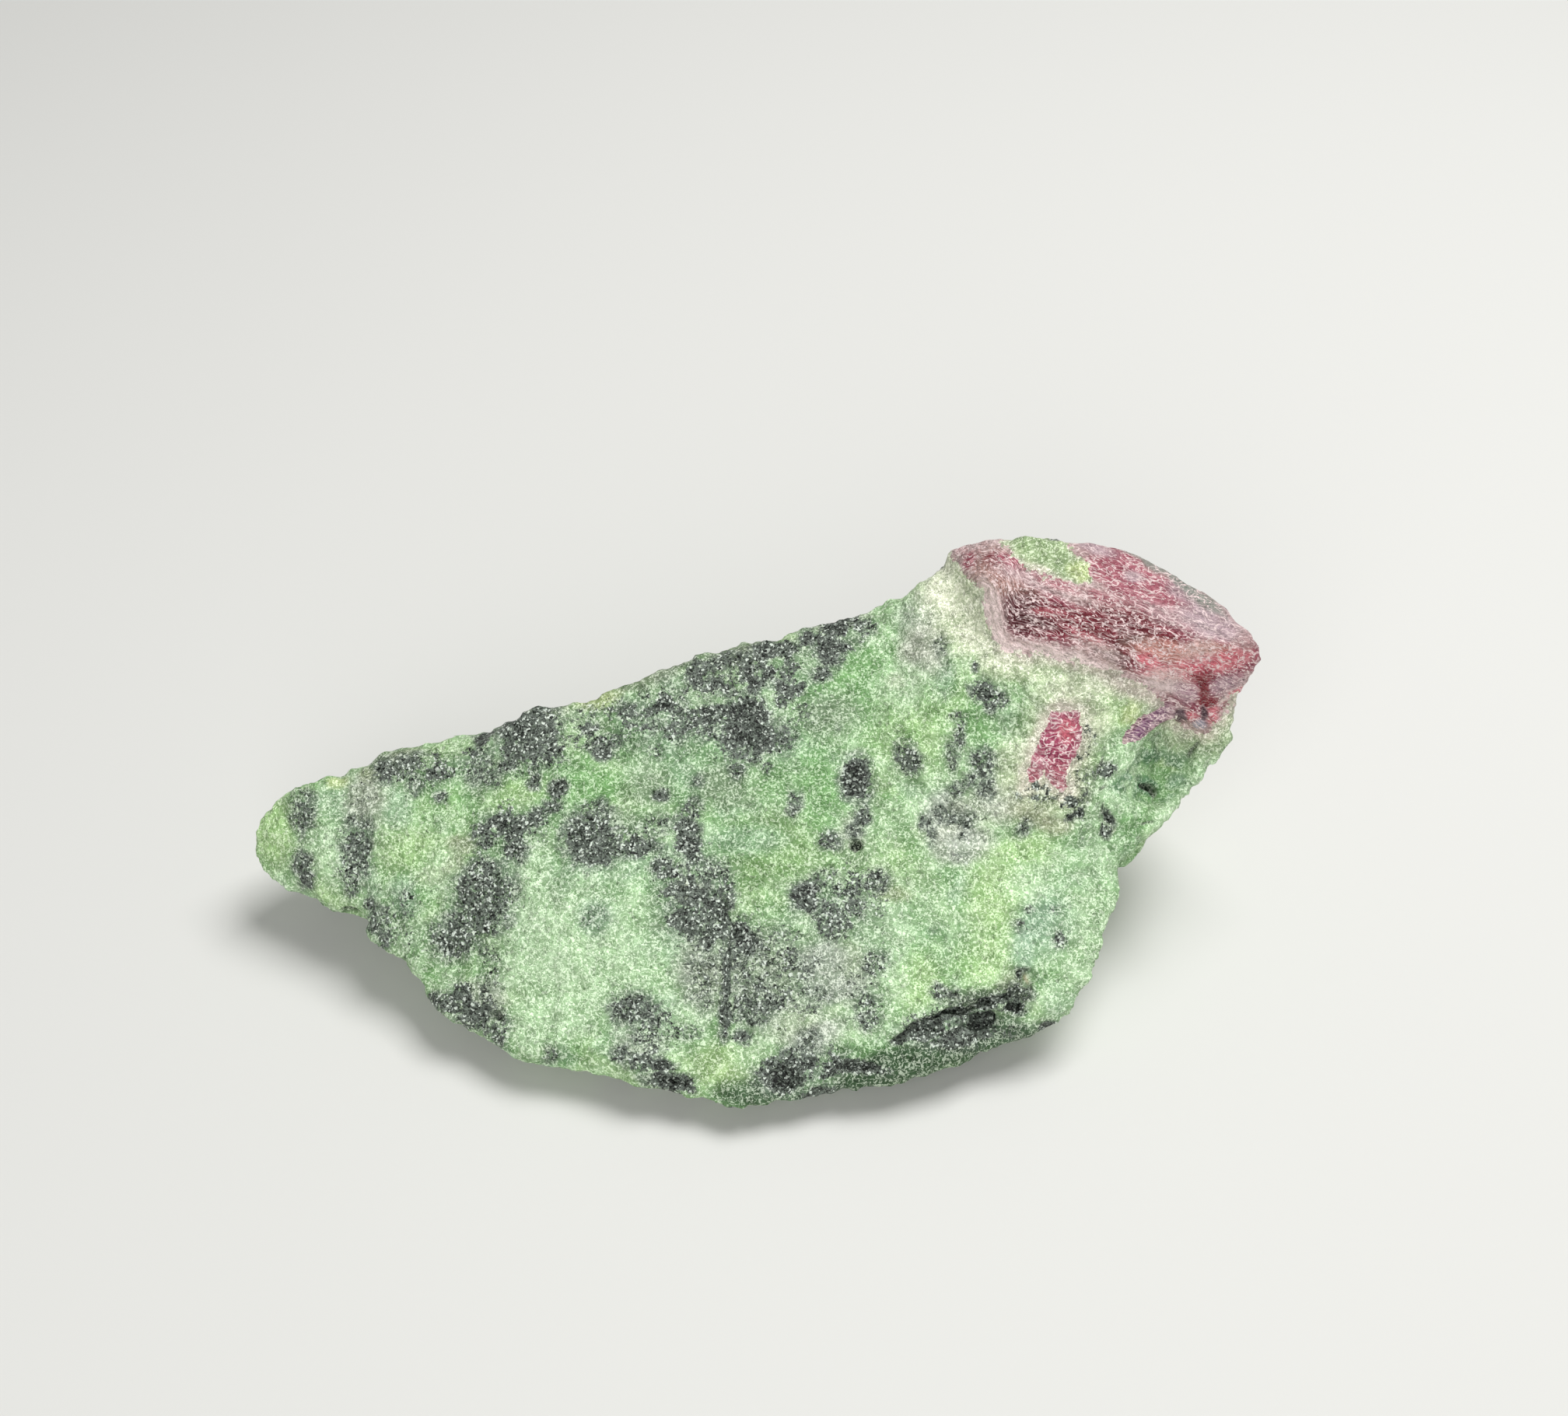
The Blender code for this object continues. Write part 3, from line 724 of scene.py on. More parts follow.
# Later stains lie over earlier ones.
ROCK_STAINS = stains(
    (Tone.PALE, 745, 1225, 11.5, 10.0, 0.85), (Tone.LIME, 350, 1070, 3.4, 5.4, 0.9),
    (Tone.LIME, 420, 1125, 2.4, 3.6, 0.6), (Tone.LIME, 430, 1152, 3.6, 1.4, 0.7),
    (Tone.LIME, 525, 1095, 5.0, 4.0, 0.7, 0, 0.6), (Tone.LIME, 660, 1022, 5.0, 2.4, 0.7, -10),
    (Tone.LIME, 1285, 1155, 4.5, 6.0, 0.9), (Tone.LIME, 1262, 1235, 4.0, 4.0, 0.8),
    (Tone.LIME, 1180, 1265, 3.4, 4.0, 0.8, 20), (Tone.MOSS, 935, 1370, 6.0, 3.2, 0.6),
    (Tone.LIME, 1310, 1092, 4.5, 1.8, 0.8, -10), (Tone.LIME, 1430, 915, 3.0, 2.6, 0.8, -20),
    (Tone.LIME, 1110, 1120, 9.0, 4.0, 0.3, 0, 0.6), (Tone.MOSS_DEEP, 990, 1090, 8.0, 5.0, 0.75, -10),
    (Tone.DEEP, 1095, 885, 7.0, 3.6, 0.75, -12), (Tone.DEEP, 700, 985, 7.0, 1.6, 0.7, -8),
    (Tone.DEEP, 810, 960, 5.0, 3.0, 0.5), (Tone.DEEP, 585, 1010, 6.0, 4.4, 0.55),
    (Tone.DEEP, 1262, 935, 3.0, 4.5, 0.6), (Tone.DEEP, 1100, 1355, 5.5, 1.8, 0.8),
    (Tone.LIME, 1170, 940, 6.0, 7.0, 0.5), (Tone.DEEP, 605, 1240, 3.0, 2.6, 0.5),
    (Tone.YELLOW, 474, 997, 1.6, 1.2, 0.8, 0, 0.4), (Tone.YELLOW, 435, 1006, 2.0, 0.9, 0.7, 0, 0.4),
    (Tone.YELLOW, 768, 898, 3.4, 1.6, 0.8, -15, 0.4), (Tone.LIME, 590, 960, 5.0, 1.6, 0.5, -15, 0.4),
    (Tone.BLUE_GREY, 1345, 1185, 4.4, 4.2, 0.8), (Tone.BLUE_GREY, 1315, 1220, 1.6, 3.4, 0.7),
    (Tone.BLUE_GREY, 765, 1180, 2.6, 2.4, 0.6), (Tone.BLUE_GREY, 518, 1150, 2.0, 3.4, 0.5),
    (Tone.BLUE_GREY, 510, 1040, 2.0, 3.0, 0.4), (Tone.CHALKY, 1190, 788, 4.6, 3.4, 0.7, -15),
    (Tone.BLUE_GREY, 1215, 865, 1.6, 3.4, 0.5), (Tone.BLUE_GREY, 960, 1080, 5.4, 2.2, 0.5),
    (Tone.PINK_GREY, 1185, 838, 3.8, 4.6, 1.0, 0, 0.4), (Tone.RIM, 1152, 876, 1.4, 1.2, 0.8, 0, 0.4),
    (Tone.PINK_GREY, 1222, 1058, 4.4, 3.8, 0.9), (Tone.PINK_GREY, 1240, 1088, 4.2, 2.4, 0.9, -15),
    (Tone.PINK_GREY, 1290, 1030, 5.0, 3.4, 0.85), (Tone.BEIGE, 1330, 1040, 3.4, 2.4, 0.8),
    (Tone.BEIGE, 1360, 1062, 2.4, 1.4, 0.7), (Tone.CREAM, 1300, 985, 2.8, 3.4, 0.7),
    (Tone.PINK_GREY, 468, 1026, 3.0, 4.2, 0.8), (Tone.BEIGE, 590, 1088, 2.2, 1.8, 0.6),
    (Tone.RUSTY, 583, 1112, 1.8, 1.2, 0.7, -15), (Tone.RUSTY, 560, 1125, 2.4, 1.4, 0.4, -15),
    (Tone.RUSTY, 1150, 1150, 2.2, 1.4, 0.4), (Tone.RUSTY, 884, 1146, 1.8, 1.8, 0.6),
    (Tone.PINK_GREY, 1095, 1068, 2.0, 2.6, 0.6), (Tone.PINK_GREY, 1098, 1250, 3.4, 3.6, 0.6),
    (Tone.PINK_GREY, 1030, 1320, 5.0, 3.4, 0.55), (Tone.PINK_GREY, 900, 1250, 3.4, 5.4, 0.7),
    (Tone.PINK_GREY, 975, 1255, 6.0, 6.0, 0.5), (Tone.PINK_GREY, 620, 1285, 3.4, 3.0, 0.7),
    (Tone.PINK_GREY, 820, 1345, 4.0, 2.6, 0.5), (Tone.CREAM, 1235, 790, 3.2, 7.0, 0.85),
    (Tone.CREAM, 1300, 862, 6.0, 1.8, 0.8, 8), (Tone.CREAM, 1370, 888, 5.0, 1.8, 0.6),
    (Tone.CREAM, 1440, 890, 4.0, 1.2, 0.7, 12), (Tone.BLUE_GREY, 1518, 1007, 1.4, 1.2, 0.7, 0, 0.4),
    (Tone.DEEP, 1450, 1055, 5.0, 4.0, 0.2), (Tone.PALE, 1400, 1125, 5.0, 5.6, 0.4),
    (Tone.PALE, 1385, 1215, 4.0, 6.0, 0.5), (Tone.DEEP, 1040, 905, 3.6, 3.6, 0.6),
    (Tone.SHADOWED, 505, 980, 4.6, 1.8, 0.9, -18), (Tone.SHADOWED, 690, 914, 5.4, 1.6, 0.9, -8),
    (Tone.SHADOWED, 845, 864, 6.4, 1.8, 0.7, -25), (Tone.SHADOWED, 960, 840, 7.4, 1.8, 0.8, -14),
    (Tone.BROWN, 1075, 800, 4.4, 1.4, 0.6, -15), (Tone.LIME, 1010, 820, 2.0, 1.2, 0.7, -15),
    # the dark grey-green stain just above the ledge is partly the rock's own colour and partly painted shade
    # beside the crack
    (Tone.OLIVE, 1238, 1288, 5.4, 1.3, 0.9, -14), (Tone.BROWN, 1305, 1268, 2.0, 2.4, 0.6),
    # the small pale stain at 1321 1259 is a painted highlight on a shiny facet
    (Tone.SLATE, 1187, 1322, 1.2, 1.0, 0.9, 0, 0.3), (Tone.FACET, 1321, 1259, 0.45, 1.1, 1.0, -29, 0.4),
    (Tone.RIM, 1316, 1337, 1.8, 0.7, 0.9, -18, 0.4), (Tone.SHADED, 1487, 908, 2.0, 0.8, 0.9, -8, 0.4),
    (Tone.YELLOW, 1456, 915, 1.6, 2.2, 0.8, 25), (Tone.YELLOW, 1508, 980, 1.6, 1.0, 0.5),
    (Tone.BROWN, 1425, 1062, 1.0, 1.8, 0.7), (Tone.CHALKY, 1050, 1335, 4.6, 2.0, 0.8, -35),
    (Tone.CHALKY, 1238, 1085, 3.6, 2.2, 0.8, -20), (Tone.CHALKY, 1205, 1040, 1.4, 3.4, 0.7, 20),
    (Tone.PALE, 1548, 990, 1.6, 6.0, 0.8, 15), (Tone.PALE, 1165, 880, 5.0, 3.4, 0.7),
    (Tone.SAGE, 1068, 922, 4.8, 3.8, 0.95, -10), (Tone.DEEP, 1030, 966, 5.0, 3.0, 0.5),
    (Tone.DEEP, 912, 966, 4.0, 2.6, 0.5), (Tone.PALE, 1232, 966, 2.6, 3.0, 0.6),
    (Tone.SAGE, 620, 1008, 2.8, 2.8, 0.8), (Tone.DEEP, 762, 1010, 5.4, 2.8, 0.85),
    (Tone.SAGE, 836, 1014, 3.6, 3.0, 0.9), (Tone.SAGE, 804, 1056, 3.6, 2.4, 0.8),
    (Tone.SAGE, 930, 1010, 4.2, 3.6, 1.0), (Tone.DEEP, 994, 1008, 3.2, 3.2, 0.6),
    (Tone.DEEP, 1056, 1012, 4.0, 3.6, 0.9), (Tone.DEEP, 1056, 1056, 3.0, 2.4, 0.6),
    (Tone.SAGE, 1102, 1096, 2.8, 2.2, 0.6), (Tone.PALE, 436, 1108, 3.6, 5.4, 0.9, -10),
    (Tone.PALE, 568, 1118, 3.6, 3.6, 0.6), (Tone.PALE, 676, 1156, 4.4, 5.0, 0.9),
    (Tone.PALE, 1144, 1192, 3.8, 3.6, 0.7), (Tone.PALE, 1320, 1140, 3.4, 2.6, 0.7),
    (Tone.CHALKY, 1060, 1232, 3.4, 3.0, 0.9), (Tone.CHALKY, 1066, 1272, 4.0, 2.4, 0.8),
    (Tone.PALE, 1146, 1256, 2.8, 4.6, 0.6), (Tone.DEEP, 1232, 1230, 2.8, 3.2, 0.4),
    (Tone.PALE, 700, 1316, 7.0, 3.0, 0.7), (Tone.PALE, 880, 1314, 3.0, 3.0, 0.7),
    (Tone.PALE, 968, 1358, 3.0, 2.4, 0.6), (Tone.SHADED, 966, 1406, 5.4, 2.4, 0.9, -5),
    (Tone.PALE, 1452, 985, 3.6, 4.4, 0.7), (Tone.PALE, 1450, 1020, 2.8, 2.4, 0.7),
    (Tone.PALE, 1408, 1050, 2.6, 2.8, 0.7), (Tone.PALE, 1536, 962, 2.4, 2.6, 0.6),
    (Tone.PALE, 1098, 1142, 2.4, 2.4, 0.6), (Tone.PALE, 706, 1236, 3.0, 3.4, 0.6),
    (Tone.PALE, 836, 930, 2.0, 2.0, 0.5),
)

RUBY_GREENS = stains(
    # the two ivory stains left of the ruby are lighter than the rock's cream there: partly its colour,
    # partly painted light on that slope
    (Tone.IVORY, 1232, 746, 6.4, 7.4, 1.0, -12), (Tone.IVORY, 1256, 800, 3.6, 4.6, 0.95, -20),
    (Tone.IVORY, 1290, 852, 4.0, 1.4, 0.6, 20), (Tone.RIM, 1456, 880, 5.4, 1.9, 1.0, 20),
    (Tone.IVORY, 1386, 884, 4.6, 2.0, 0.6, 6), (Tone.IVORY, 1408, 922, 3.0, 2.6, 0.5),
    (Tone.RIM, 1366, 918, 1.8, 2.6, 0.8), (Tone.RIM, 1496, 880, 2.6, 1.8, 0.9, 20),
    (Tone.RIM, 1410, 836, 3.4, 1.2, 0.6, 24), (Tone.LEAF, 1335, 704, 5.0, 2.2, 0.95, 8),
    (Tone.LEAF, 1368, 724, 4.2, 1.9, 0.95, 36), (Tone.YELLOW, 1388, 735, 1.8, 1.3, 0.8, 40),
)

BAND = Outline(
    corners=(
        (1140, 1345), (1190, 1330), (1250, 1308), (1300, 1303), (1345, 1322), (1345, 1350), (1230, 1375),
        (1130, 1410), (1060, 1432), (990, 1440), (1030, 1402), (1070, 1392),
    ),
    deep=6.0,
    soft=12.0,
)

RUBY_CRYSTAL = Outline(
    corners=(
        (1215, 700), (1270, 670), (1296, 706), (1316, 730), (1350, 742), (1380, 749), (1404, 748),
        (1394, 722), (1372, 700), (1362, 670), (1450, 670), (1560, 730), (1660, 830), (1625, 880),
        (1590, 892), (1556, 943), (1523, 941), (1504, 918), (1486, 893), (1470, 878), (1430, 864),
        (1370, 847), (1295, 838), (1276, 822), (1268, 790), (1262, 762), (1242, 738),
    ),
    deep=15.0,
    soft=12.0,
)

RUBY_END = ((1262, 762), (1268, 790), (1276, 822), (1290, 846))

RUBY_TAIL = Outline(
    corners=(
        (1512, 903), (1512, 922), (1494, 931), (1483, 940), (1466, 952), (1440, 958), (1449, 941),
        (1464, 924), (1480, 916), (1494, 908),
    ),
    deep=4.0,
    soft=4.0,
)

SMALL_RUBY = Outline(
    corners=(
        (1352, 917), (1387, 915), (1392, 940), (1384, 968), (1372, 990), (1373, 1012), (1364, 1020),
        (1352, 1008), (1343, 988), (1332, 1004), (1320, 1008), (1326, 975), (1340, 945),
    ),
    deep=4.0,
    soft=5.0,
)

RUBY_STAINS = stains(
    (Tone.DUSTY_PINK, 1275, 702, 4.0, 1.8, 0.8), (Tone.BUFF, 1284, 738, 5.0, 3.6, 0.8, 20),
    (Tone.ROSE, 1246, 722, 1.0, 1.2, 1.0), (Tone.MAROON, 1277, 718, 1.8, 1.0, 0.8, 10),
    (Tone.ROSE, 1303, 724, 3.4, 1.1, 1.0, 25), (Tone.MAUVE, 1335, 748, 6.5, 1.2, 0.8, 18),
    (Tone.DUSTY_PINK, 1400, 766, 8.0, 1.8, 0.9, 22), (Tone.ROSE, 1362, 751, 3.6, 0.9, 0.8, 22),
    (Tone.ROSE, 1424, 771, 3.4, 0.8, 0.8, 22), (Tone.BUFF, 1312, 764, 3.6, 1.2, 0.7, 15),
    (Tone.MAROON, 1340, 795, 5.4, 2.6, 0.95, 18), (Tone.DARK_MAROON, 1312, 786, 3.2, 3.2, 0.95),
    (Tone.DARK_MAROON, 1340, 794, 3.0, 1.8, 0.9, 15), (Tone.CRIMSON, 1351, 788, 2.4, 0.6, 0.7, 8),
    (Tone.MAROON, 1404, 808, 5.4, 2.6, 0.75, 22), (Tone.MAROON, 1424, 834, 6.0, 2.2, 0.95, 27),
    (Tone.DARK_MAROON, 1432, 842, 3.2, 1.4, 0.8, 27), (Tone.CRIMSON, 1402, 822, 3.0, 0.7, 0.5, 25),
    (Tone.MAROON, 1448, 803, 6.8, 2.6, 0.95, 18), (Tone.MAROON, 1500, 820, 4.6, 1.4, 0.6, 15),
    (Tone.DARK_MAROON, 1446, 801, 3.4, 1.4, 0.5, 18), (Tone.ASH, 1458, 824, 2.6, 0.9, 0.95, -10),
    (Tone.RIM, 1273, 785, 1.8, 4.6, 0.8, -12), (Tone.RIM, 1288, 830, 3.8, 1.8, 0.8, 35),
    (Tone.RIM, 1350, 838, 4.0, 1.2, 0.5, 12), (Tone.RIM, 1390, 853, 6.6, 1.0, 0.7, 16),
    (Tone.ROSE, 1420, 732, 3.8, 1.8, 0.95, 8, 0.4), (Tone.ROSE, 1450, 728, 2.2, 1.4, 0.9, 20, 0.4),
    (Tone.ROSE, 1488, 744, 5.2, 1.6, 0.95, 38, 0.4), (Tone.SILVER, 1522, 770, 3.6, 1.5, 0.7, 45, 0.4),
    (Tone.ROSE, 1466, 759, 4.6, 1.5, 0.9, 24, 0.4), (Tone.ROSE, 1500, 776, 4.0, 1.2, 0.8, 24),
    (Tone.SILVER, 1456, 742, 1.5, 0.7, 0.8, 15), (Tone.SILVER, 1410, 706, 3.0, 0.9, 0.8, 20),
    (Tone.FROST, 1474, 722, 4.6, 0.7, 0.9, 33), (Tone.FROST, 1520, 750, 5.0, 0.8, 0.9, 38),
    (Tone.FROST, 1556, 776, 4.6, 1.2, 0.9, 36), (Tone.MAUVE, 1516, 796, 5.6, 1.4, 0.8, 22),
    (Tone.SILVER, 1562, 806, 5.0, 1.9, 0.85, 22), (Tone.MAUVE, 1590, 796, 3.4, 0.7, 0.8, 40),
    (Tone.PEACH, 1495, 838, 5.2, 1.8, 0.85, 10), (Tone.PEACH, 1560, 837, 4.4, 1.3, 0.8, 5),
    (Tone.CRIMSON, 1478, 850, 2.4, 0.9, 0.8, 20), (Tone.CRIMSON, 1504, 864, 4.4, 1.3, 0.85, 5),
    (Tone.CRIMSON, 1548, 856, 3.8, 1.5, 0.9, -8), (Tone.CRIMSON, 1582, 848, 3.4, 1.5, 0.9, -14),
    (Tone.CRIMSON, 1598, 832, 1.8, 1.4, 0.4), (Tone.DUSTY_PINK, 1602, 824, 1.8, 1.8, 0.6),
    (Tone.DUSK, 1514, 890, 3.2, 1.8, 0.8, 10), (Tone.MAROON, 1500, 898, 2.4, 0.9, 0.7, 15),
    (Tone.DUSK, 1574, 880, 2.6, 1.2, 0.8, -20), (Tone.RIM, 1580, 903, 3.4, 0.9, 0.9, -36),
    (Tone.ROSE, 1572, 910, 2.4, 0.5, 0.8, -36), (Tone.CRIMSON, 1591, 889, 1.3, 0.5, 1.0, -25, 0.4),
    (Tone.CRIMSON, 1558, 916, 1.0, 1.6, 0.9, 15), (Tone.CRIMSON, 1532, 921, 1.2, 0.8, 1.0, 0, 0.4),
    (Tone.LILAC, 1541, 931, 1.1, 0.9, 0.9, 0, 0.4), (Tone.GEM, 1546, 870, 1.8, 1.2, 0.9, 0, 0.4),
    (Tone.GEM, 1548, 890, 0.8, 2.6, 1.0, 0, 0.4), (Tone.GEM, 1551, 902, 1.6, 0.9, 1.0, 0, 0.4),
    (Tone.SMOKE, 1548, 918, 0.6, 1.1, 1.0, -10, 0.4), (Tone.SMOKE, 1518, 923, 1.1, 1.5, 1.0, -20, 0.4),
    (Tone.PURPLE, 1462, 938, 2.8, 1.5, 1.0, -38), (Tone.PURPLE, 1488, 922, 2.6, 1.2, 0.8, -32),
    (Tone.DARK_MAROON, 1460, 932, 2.4, 0.4, 0.8, -45), (Tone.DUSTY_PINK, 1445, 954, 1.0, 0.7, 0.9, -30),
    (Tone.RIM, 1410, 838, 3.4, 1.6, 0.45, 24), (Tone.RIM, 1496, 876, 2.8, 2.2, 0.6),
    (Tone.RIM, 1540, 836, 2.4, 1.8, 0.35), (Tone.RIM, 1364, 922, 1.6, 2.6, 0.5),
    (Tone.CERISE, 1368, 932, 3.0, 2.6, 0.9, 0, 0.6), (Tone.CERISE, 1357, 962, 4.4, 4.6, 0.95, 20, 0.6),
    (Tone.CRIMSON, 1372, 940, 1.4, 1.6, 0.8, 20), (Tone.ROSE, 1326, 1000, 1.4, 1.8, 0.8, 10),
    (Tone.ROSE, 1362, 1000, 2.0, 2.6, 0.8, 0, 0.6),
)

# Where the mesh is halved, to hold the finest marks.
CLOSE_UPS = (
    Window(1130, 1235, 1350, 1362),
    Window(1236, 685, 1625, 965),
    Window(1395, 940, 1570, 1090),
    Window(1305, 900, 1400, 1030),
    Window(900, 1140, 975, 1335),
)


# ---------------------------------------------------------------------------------------------------------
# Shader graphs as expressions
# ---------------------------------------------------------------------------------------------------------


class Mask(Enum):
    """The values kept at the skin's points for the finish to read."""

    ROCK_TONE = "rock_tone"
    RUBY_TONE = "ruby_tone"
    RUBY = "ruby"
    HORNBLENDE = "hornblende"
    GEM = "gem"
    PARTING = "parting"


class Value:
    """A number socket that takes part in Python sums; each sum adds its Math node."""

    def __init__(self, graph: "Graph", socket: bpy.types.NodeSocket) -> None:
        """Wrap a socket of a graph."""
        self.graph = graph
        self.socket = socket

    def _sum(self, operation: str, *others: object) -> "Value":
        """Add a Math node that has this value first."""
        return self.graph.math(operation, self, *others)

    def __add__(self, other: object) -> "Value":
        """This value plus another."""
        return self._sum("ADD", other)

    def __radd__(self, other: object) -> "Value":
        """A number plus this value."""
        return self.graph.math("ADD", other, self)

    def __sub__(self, other: object) -> "Value":
        """This value less another."""
        return self._sum("SUBTRACT", other)

    def __rsub__(self, other: object) -> "Value":
        """A number less this value."""
        return self.graph.math("SUBTRACT", other, self)

    def __mul__(self, other: object) -> "Value":
        """This value times another."""
        return self._sum("MULTIPLY", other)

    def __rmul__(self, other: object) -> "Value":
        """A number times this value."""
        return self.graph.math("MULTIPLY", other, self)

    def rise(self, low: float, high: float) -> "Value":
        """Rise smoothly from 0 to 1 between two values of this one, or fall if the first is the higher.

        Args:
            low: where the rise starts.
            high: where it ends.

        Returns:
            A value from 0 to 1.
        """
        settings = {"interpolation_type": "SMOOTHSTEP", "clamp": True}
        inputs = {"Value": self, "From Min": low, "From Max": high, "To Min": 0.0, "To Max": 1.0}
        if low > high:
            inputs.update({"From Min": high, "From Max": low, "To Min": 1.0, "To Max": 0.0})
        return self.graph.value("ShaderNodeMapRange", settings, inputs, "Result")

    def ridge(self, width: float) -> "Value":
        """A line, 1 at its middle, wherever this value crosses a half."""
        off = self.graph.math("ABSOLUTE", self - 0.5)
        return (1.0 - off * (1.0 / width)).clamped()

    def highest(self, share: float, edge: float) -> "Value":
        """1 where this random number is in its highest share, with a soft edge."""
        return self.rise(1.0 - share - edge, 1.0 - share + edge)

    def lowest(self, share: float, edge: float) -> "Value":
        """1 where this random number is in its lowest share, with a soft edge."""
        return self.rise(share + edge, share - edge)

    def clamped(self) -> "Value":
        """This value kept between 0 and 1."""
        return self.graph.value("ShaderNodeClamp", {}, {"Value": self}, "Result")


class Graph:
    """The node graph of one material, in which a point is in millimetres."""

    def __init__(self, name: str) -> None:
        """Start an empty material.

        Args:
            name: the material's name.
        """
        self.material = bpy.data.materials.new(name)
        self.material.use_nodes = True
        self.tree = self.material.node_tree
        self.tree.nodes.clear()

    def node(self, kind: str, settings: dict[str, object], inputs: dict[str, object]) -> bpy.types.Node:
        """Add a node.

        Args:
            kind: its type.
            settings: its own properties, set before its sockets are read.
            inputs: a number, vector, socket or Value for each named socket.

        Returns:
            The node.
        """
        made = self.tree.nodes.new(kind)
        for name, setting in settings.items():
            setattr(made, name, setting)
        for name, given in inputs.items():
            socket = next(s for s in made.inputs if name in (s.identifier, s.name) and s.enabled)
            self.feed(socket, given)
        return made

    def feed(self, socket: bpy.types.NodeSocket, given: object) -> None:
        """Give a socket a link or a plain value.

        Args:
            socket: the socket.
            given: what it gets.
        """
        source = given.socket if isinstance(given, Value) else given
        if isinstance(source, bpy.types.NodeSocket):
            self.tree.links.new(source, socket)
        else:
            socket.default_value = source

    def value(self, kind: str, settings: dict[str, object], inputs: dict[str, object], output: str) -> Value:
        """Add a node and take one of its number outputs."""
        return Value(self, self.node(kind, settings, inputs).outputs[output])

    def math(self, operation: str, *terms: object) -> Value:
        """Add a Math node on numbers or values.

        Args:
            operation: Blender's name of the operation.
            terms: what it works on.

        Returns:
            Its result.
        """
        made = self.node("ShaderNodeMath", {"operation": operation}, {})
        for socket, term in zip(made.inputs, terms):
            self.feed(socket, term)
        return Value(self, made.outputs["Value"])

    def vector(self, operation: str, *terms: object) -> bpy.types.NodeSocket:
        """Add a Vector Math node; a last number term of SCALE is its scale.

        Args:
            operation: Blender's name of the operation.
            terms: what it works on.

        Returns:
            Its result's socket.
        """
        made = self.node("ShaderNodeVectorMath", {"operation": operation}, {})
        if operation == "SCALE":
            self.feed(made.inputs["Vector"], terms[0])
            self.feed(made.inputs["Scale"], terms[1])
        else:
            for socket, term in zip(made.inputs, terms):
                self.feed(socket, term)
        return made.outputs["Vector"]

    def mix(self, share: object, first: object, second: object) -> bpy.types.NodeSocket:
        """Mix two colours.

        Args:
            share: how much of the second there is, from 0 to 1.
            first: a colour or a colour socket.
            second: a colour or a colour socket.

        Returns:
            The mixed colour's socket.
        """
        inputs = {"Factor_Float": share, "A_Color": first, "B_Color": second}
        made = self.node("ShaderNodeMix", {"data_type": "RGBA"}, inputs)
        return next(s for s in made.outputs if s.identifier == "Result_Color")

    def position(self) -> bpy.types.NodeSocket:
        """The point on the stone, in millimetres."""
        place = self.node("ShaderNodeTexCoord", {}, {}).outputs["Object"]
        return self.vector("SCALE", place, 1.0 / MM)

    def noise(self, place: object, size: float, detail: float = 2.0, rough: float = 0.5) -> Value:
        """Smooth noise from 0 to 1, with lumps of one size."""
        inputs = {"Vector": place, "Scale": 1.0 / size, "Detail": detail, "Roughness": rough}
        return self.value("ShaderNodeTexNoise", {"noise_dimensions": "3D"}, inputs, "Fac")

    def warp(self, place: object, size: float, reach: float) -> bpy.types.NodeSocket:
        """A place pushed about by noise, so that what is read there has crooked edges.

        Args:
            place: the place to push.
            size: the noise's size.
            reach: how far it pushes.

        Returns:
            The new place's socket.
        """
        inputs = {"Vector": place, "Scale": 1.0 / size, "Detail": 1.0}
        push = self.node("ShaderNodeTexNoise", {"noise_dimensions": "3D"}, inputs).outputs["Color"]
        centred = self.vector("SUBTRACT", push, (0.5, 0.5, 0.5))
        return self.vector("ADD", place, self.vector("SCALE", centred, reach))

    def grains(self, place: object, size: float) -> "Grains":
        """Pack the stone with grains of one size.

        Args:
            place: the place to read.
            size: a grain's width.

        Returns:
            The grains' random numbers.
        """
        inputs = {"Vector": place, "Scale": 1.0 / size}
        made = self.node("ShaderNodeTexVoronoi", {"voronoi_dimensions": "3D", "feature": "F1"}, inputs)
        parts = self.node("ShaderNodeSeparateColor", {}, {"Color": made.outputs["Color"]}).outputs
        numbers = [Value(self, parts[name]) for name in ("Red", "Green", "Blue")]
        return Grains(*numbers, made.outputs["Color"])

    def painted(self, mask: Mask) -> bpy.types.NodeSocket:
        """A colour kept at the skin's points."""
        settings = {"attribute_type": "GEOMETRY", "attribute_name": mask.value}
        return self.node("ShaderNodeAttribute", settings, {}).outputs["Color"]

    def mask(self, mask: Mask) -> Value:
        """A number kept at the skin's points."""
        settings = {"attribute_type": "GEOMETRY", "attribute_name": mask.value}
        return self.value("ShaderNodeAttribute", settings, {}, "Fac")


# ---------------------------------------------------------------------------------------------------------
# The finishes
# ---------------------------------------------------------------------------------------------------------


@dataclass(frozen=True)
class Grains:
    """Three random numbers that are constant over each grain, and the three as one colour."""

    first: Value
    second: Value
    third: Value
    colour: bpy.types.NodeSocket


@dataclass(frozen=True)
class GritSizes:
    """How wide the grains, specks, threads and lumps of the finish are, in millimetres."""

    grain: float = 0.25
    chip: float = 0.15
    felt: float = 0.12
    strand: float = 0.34
    strand_width: float = 0.045
    mottle: float = 1.6
    edge: float = 0.5
    warp: float = 0.26
    warp_reach: float = 0.3


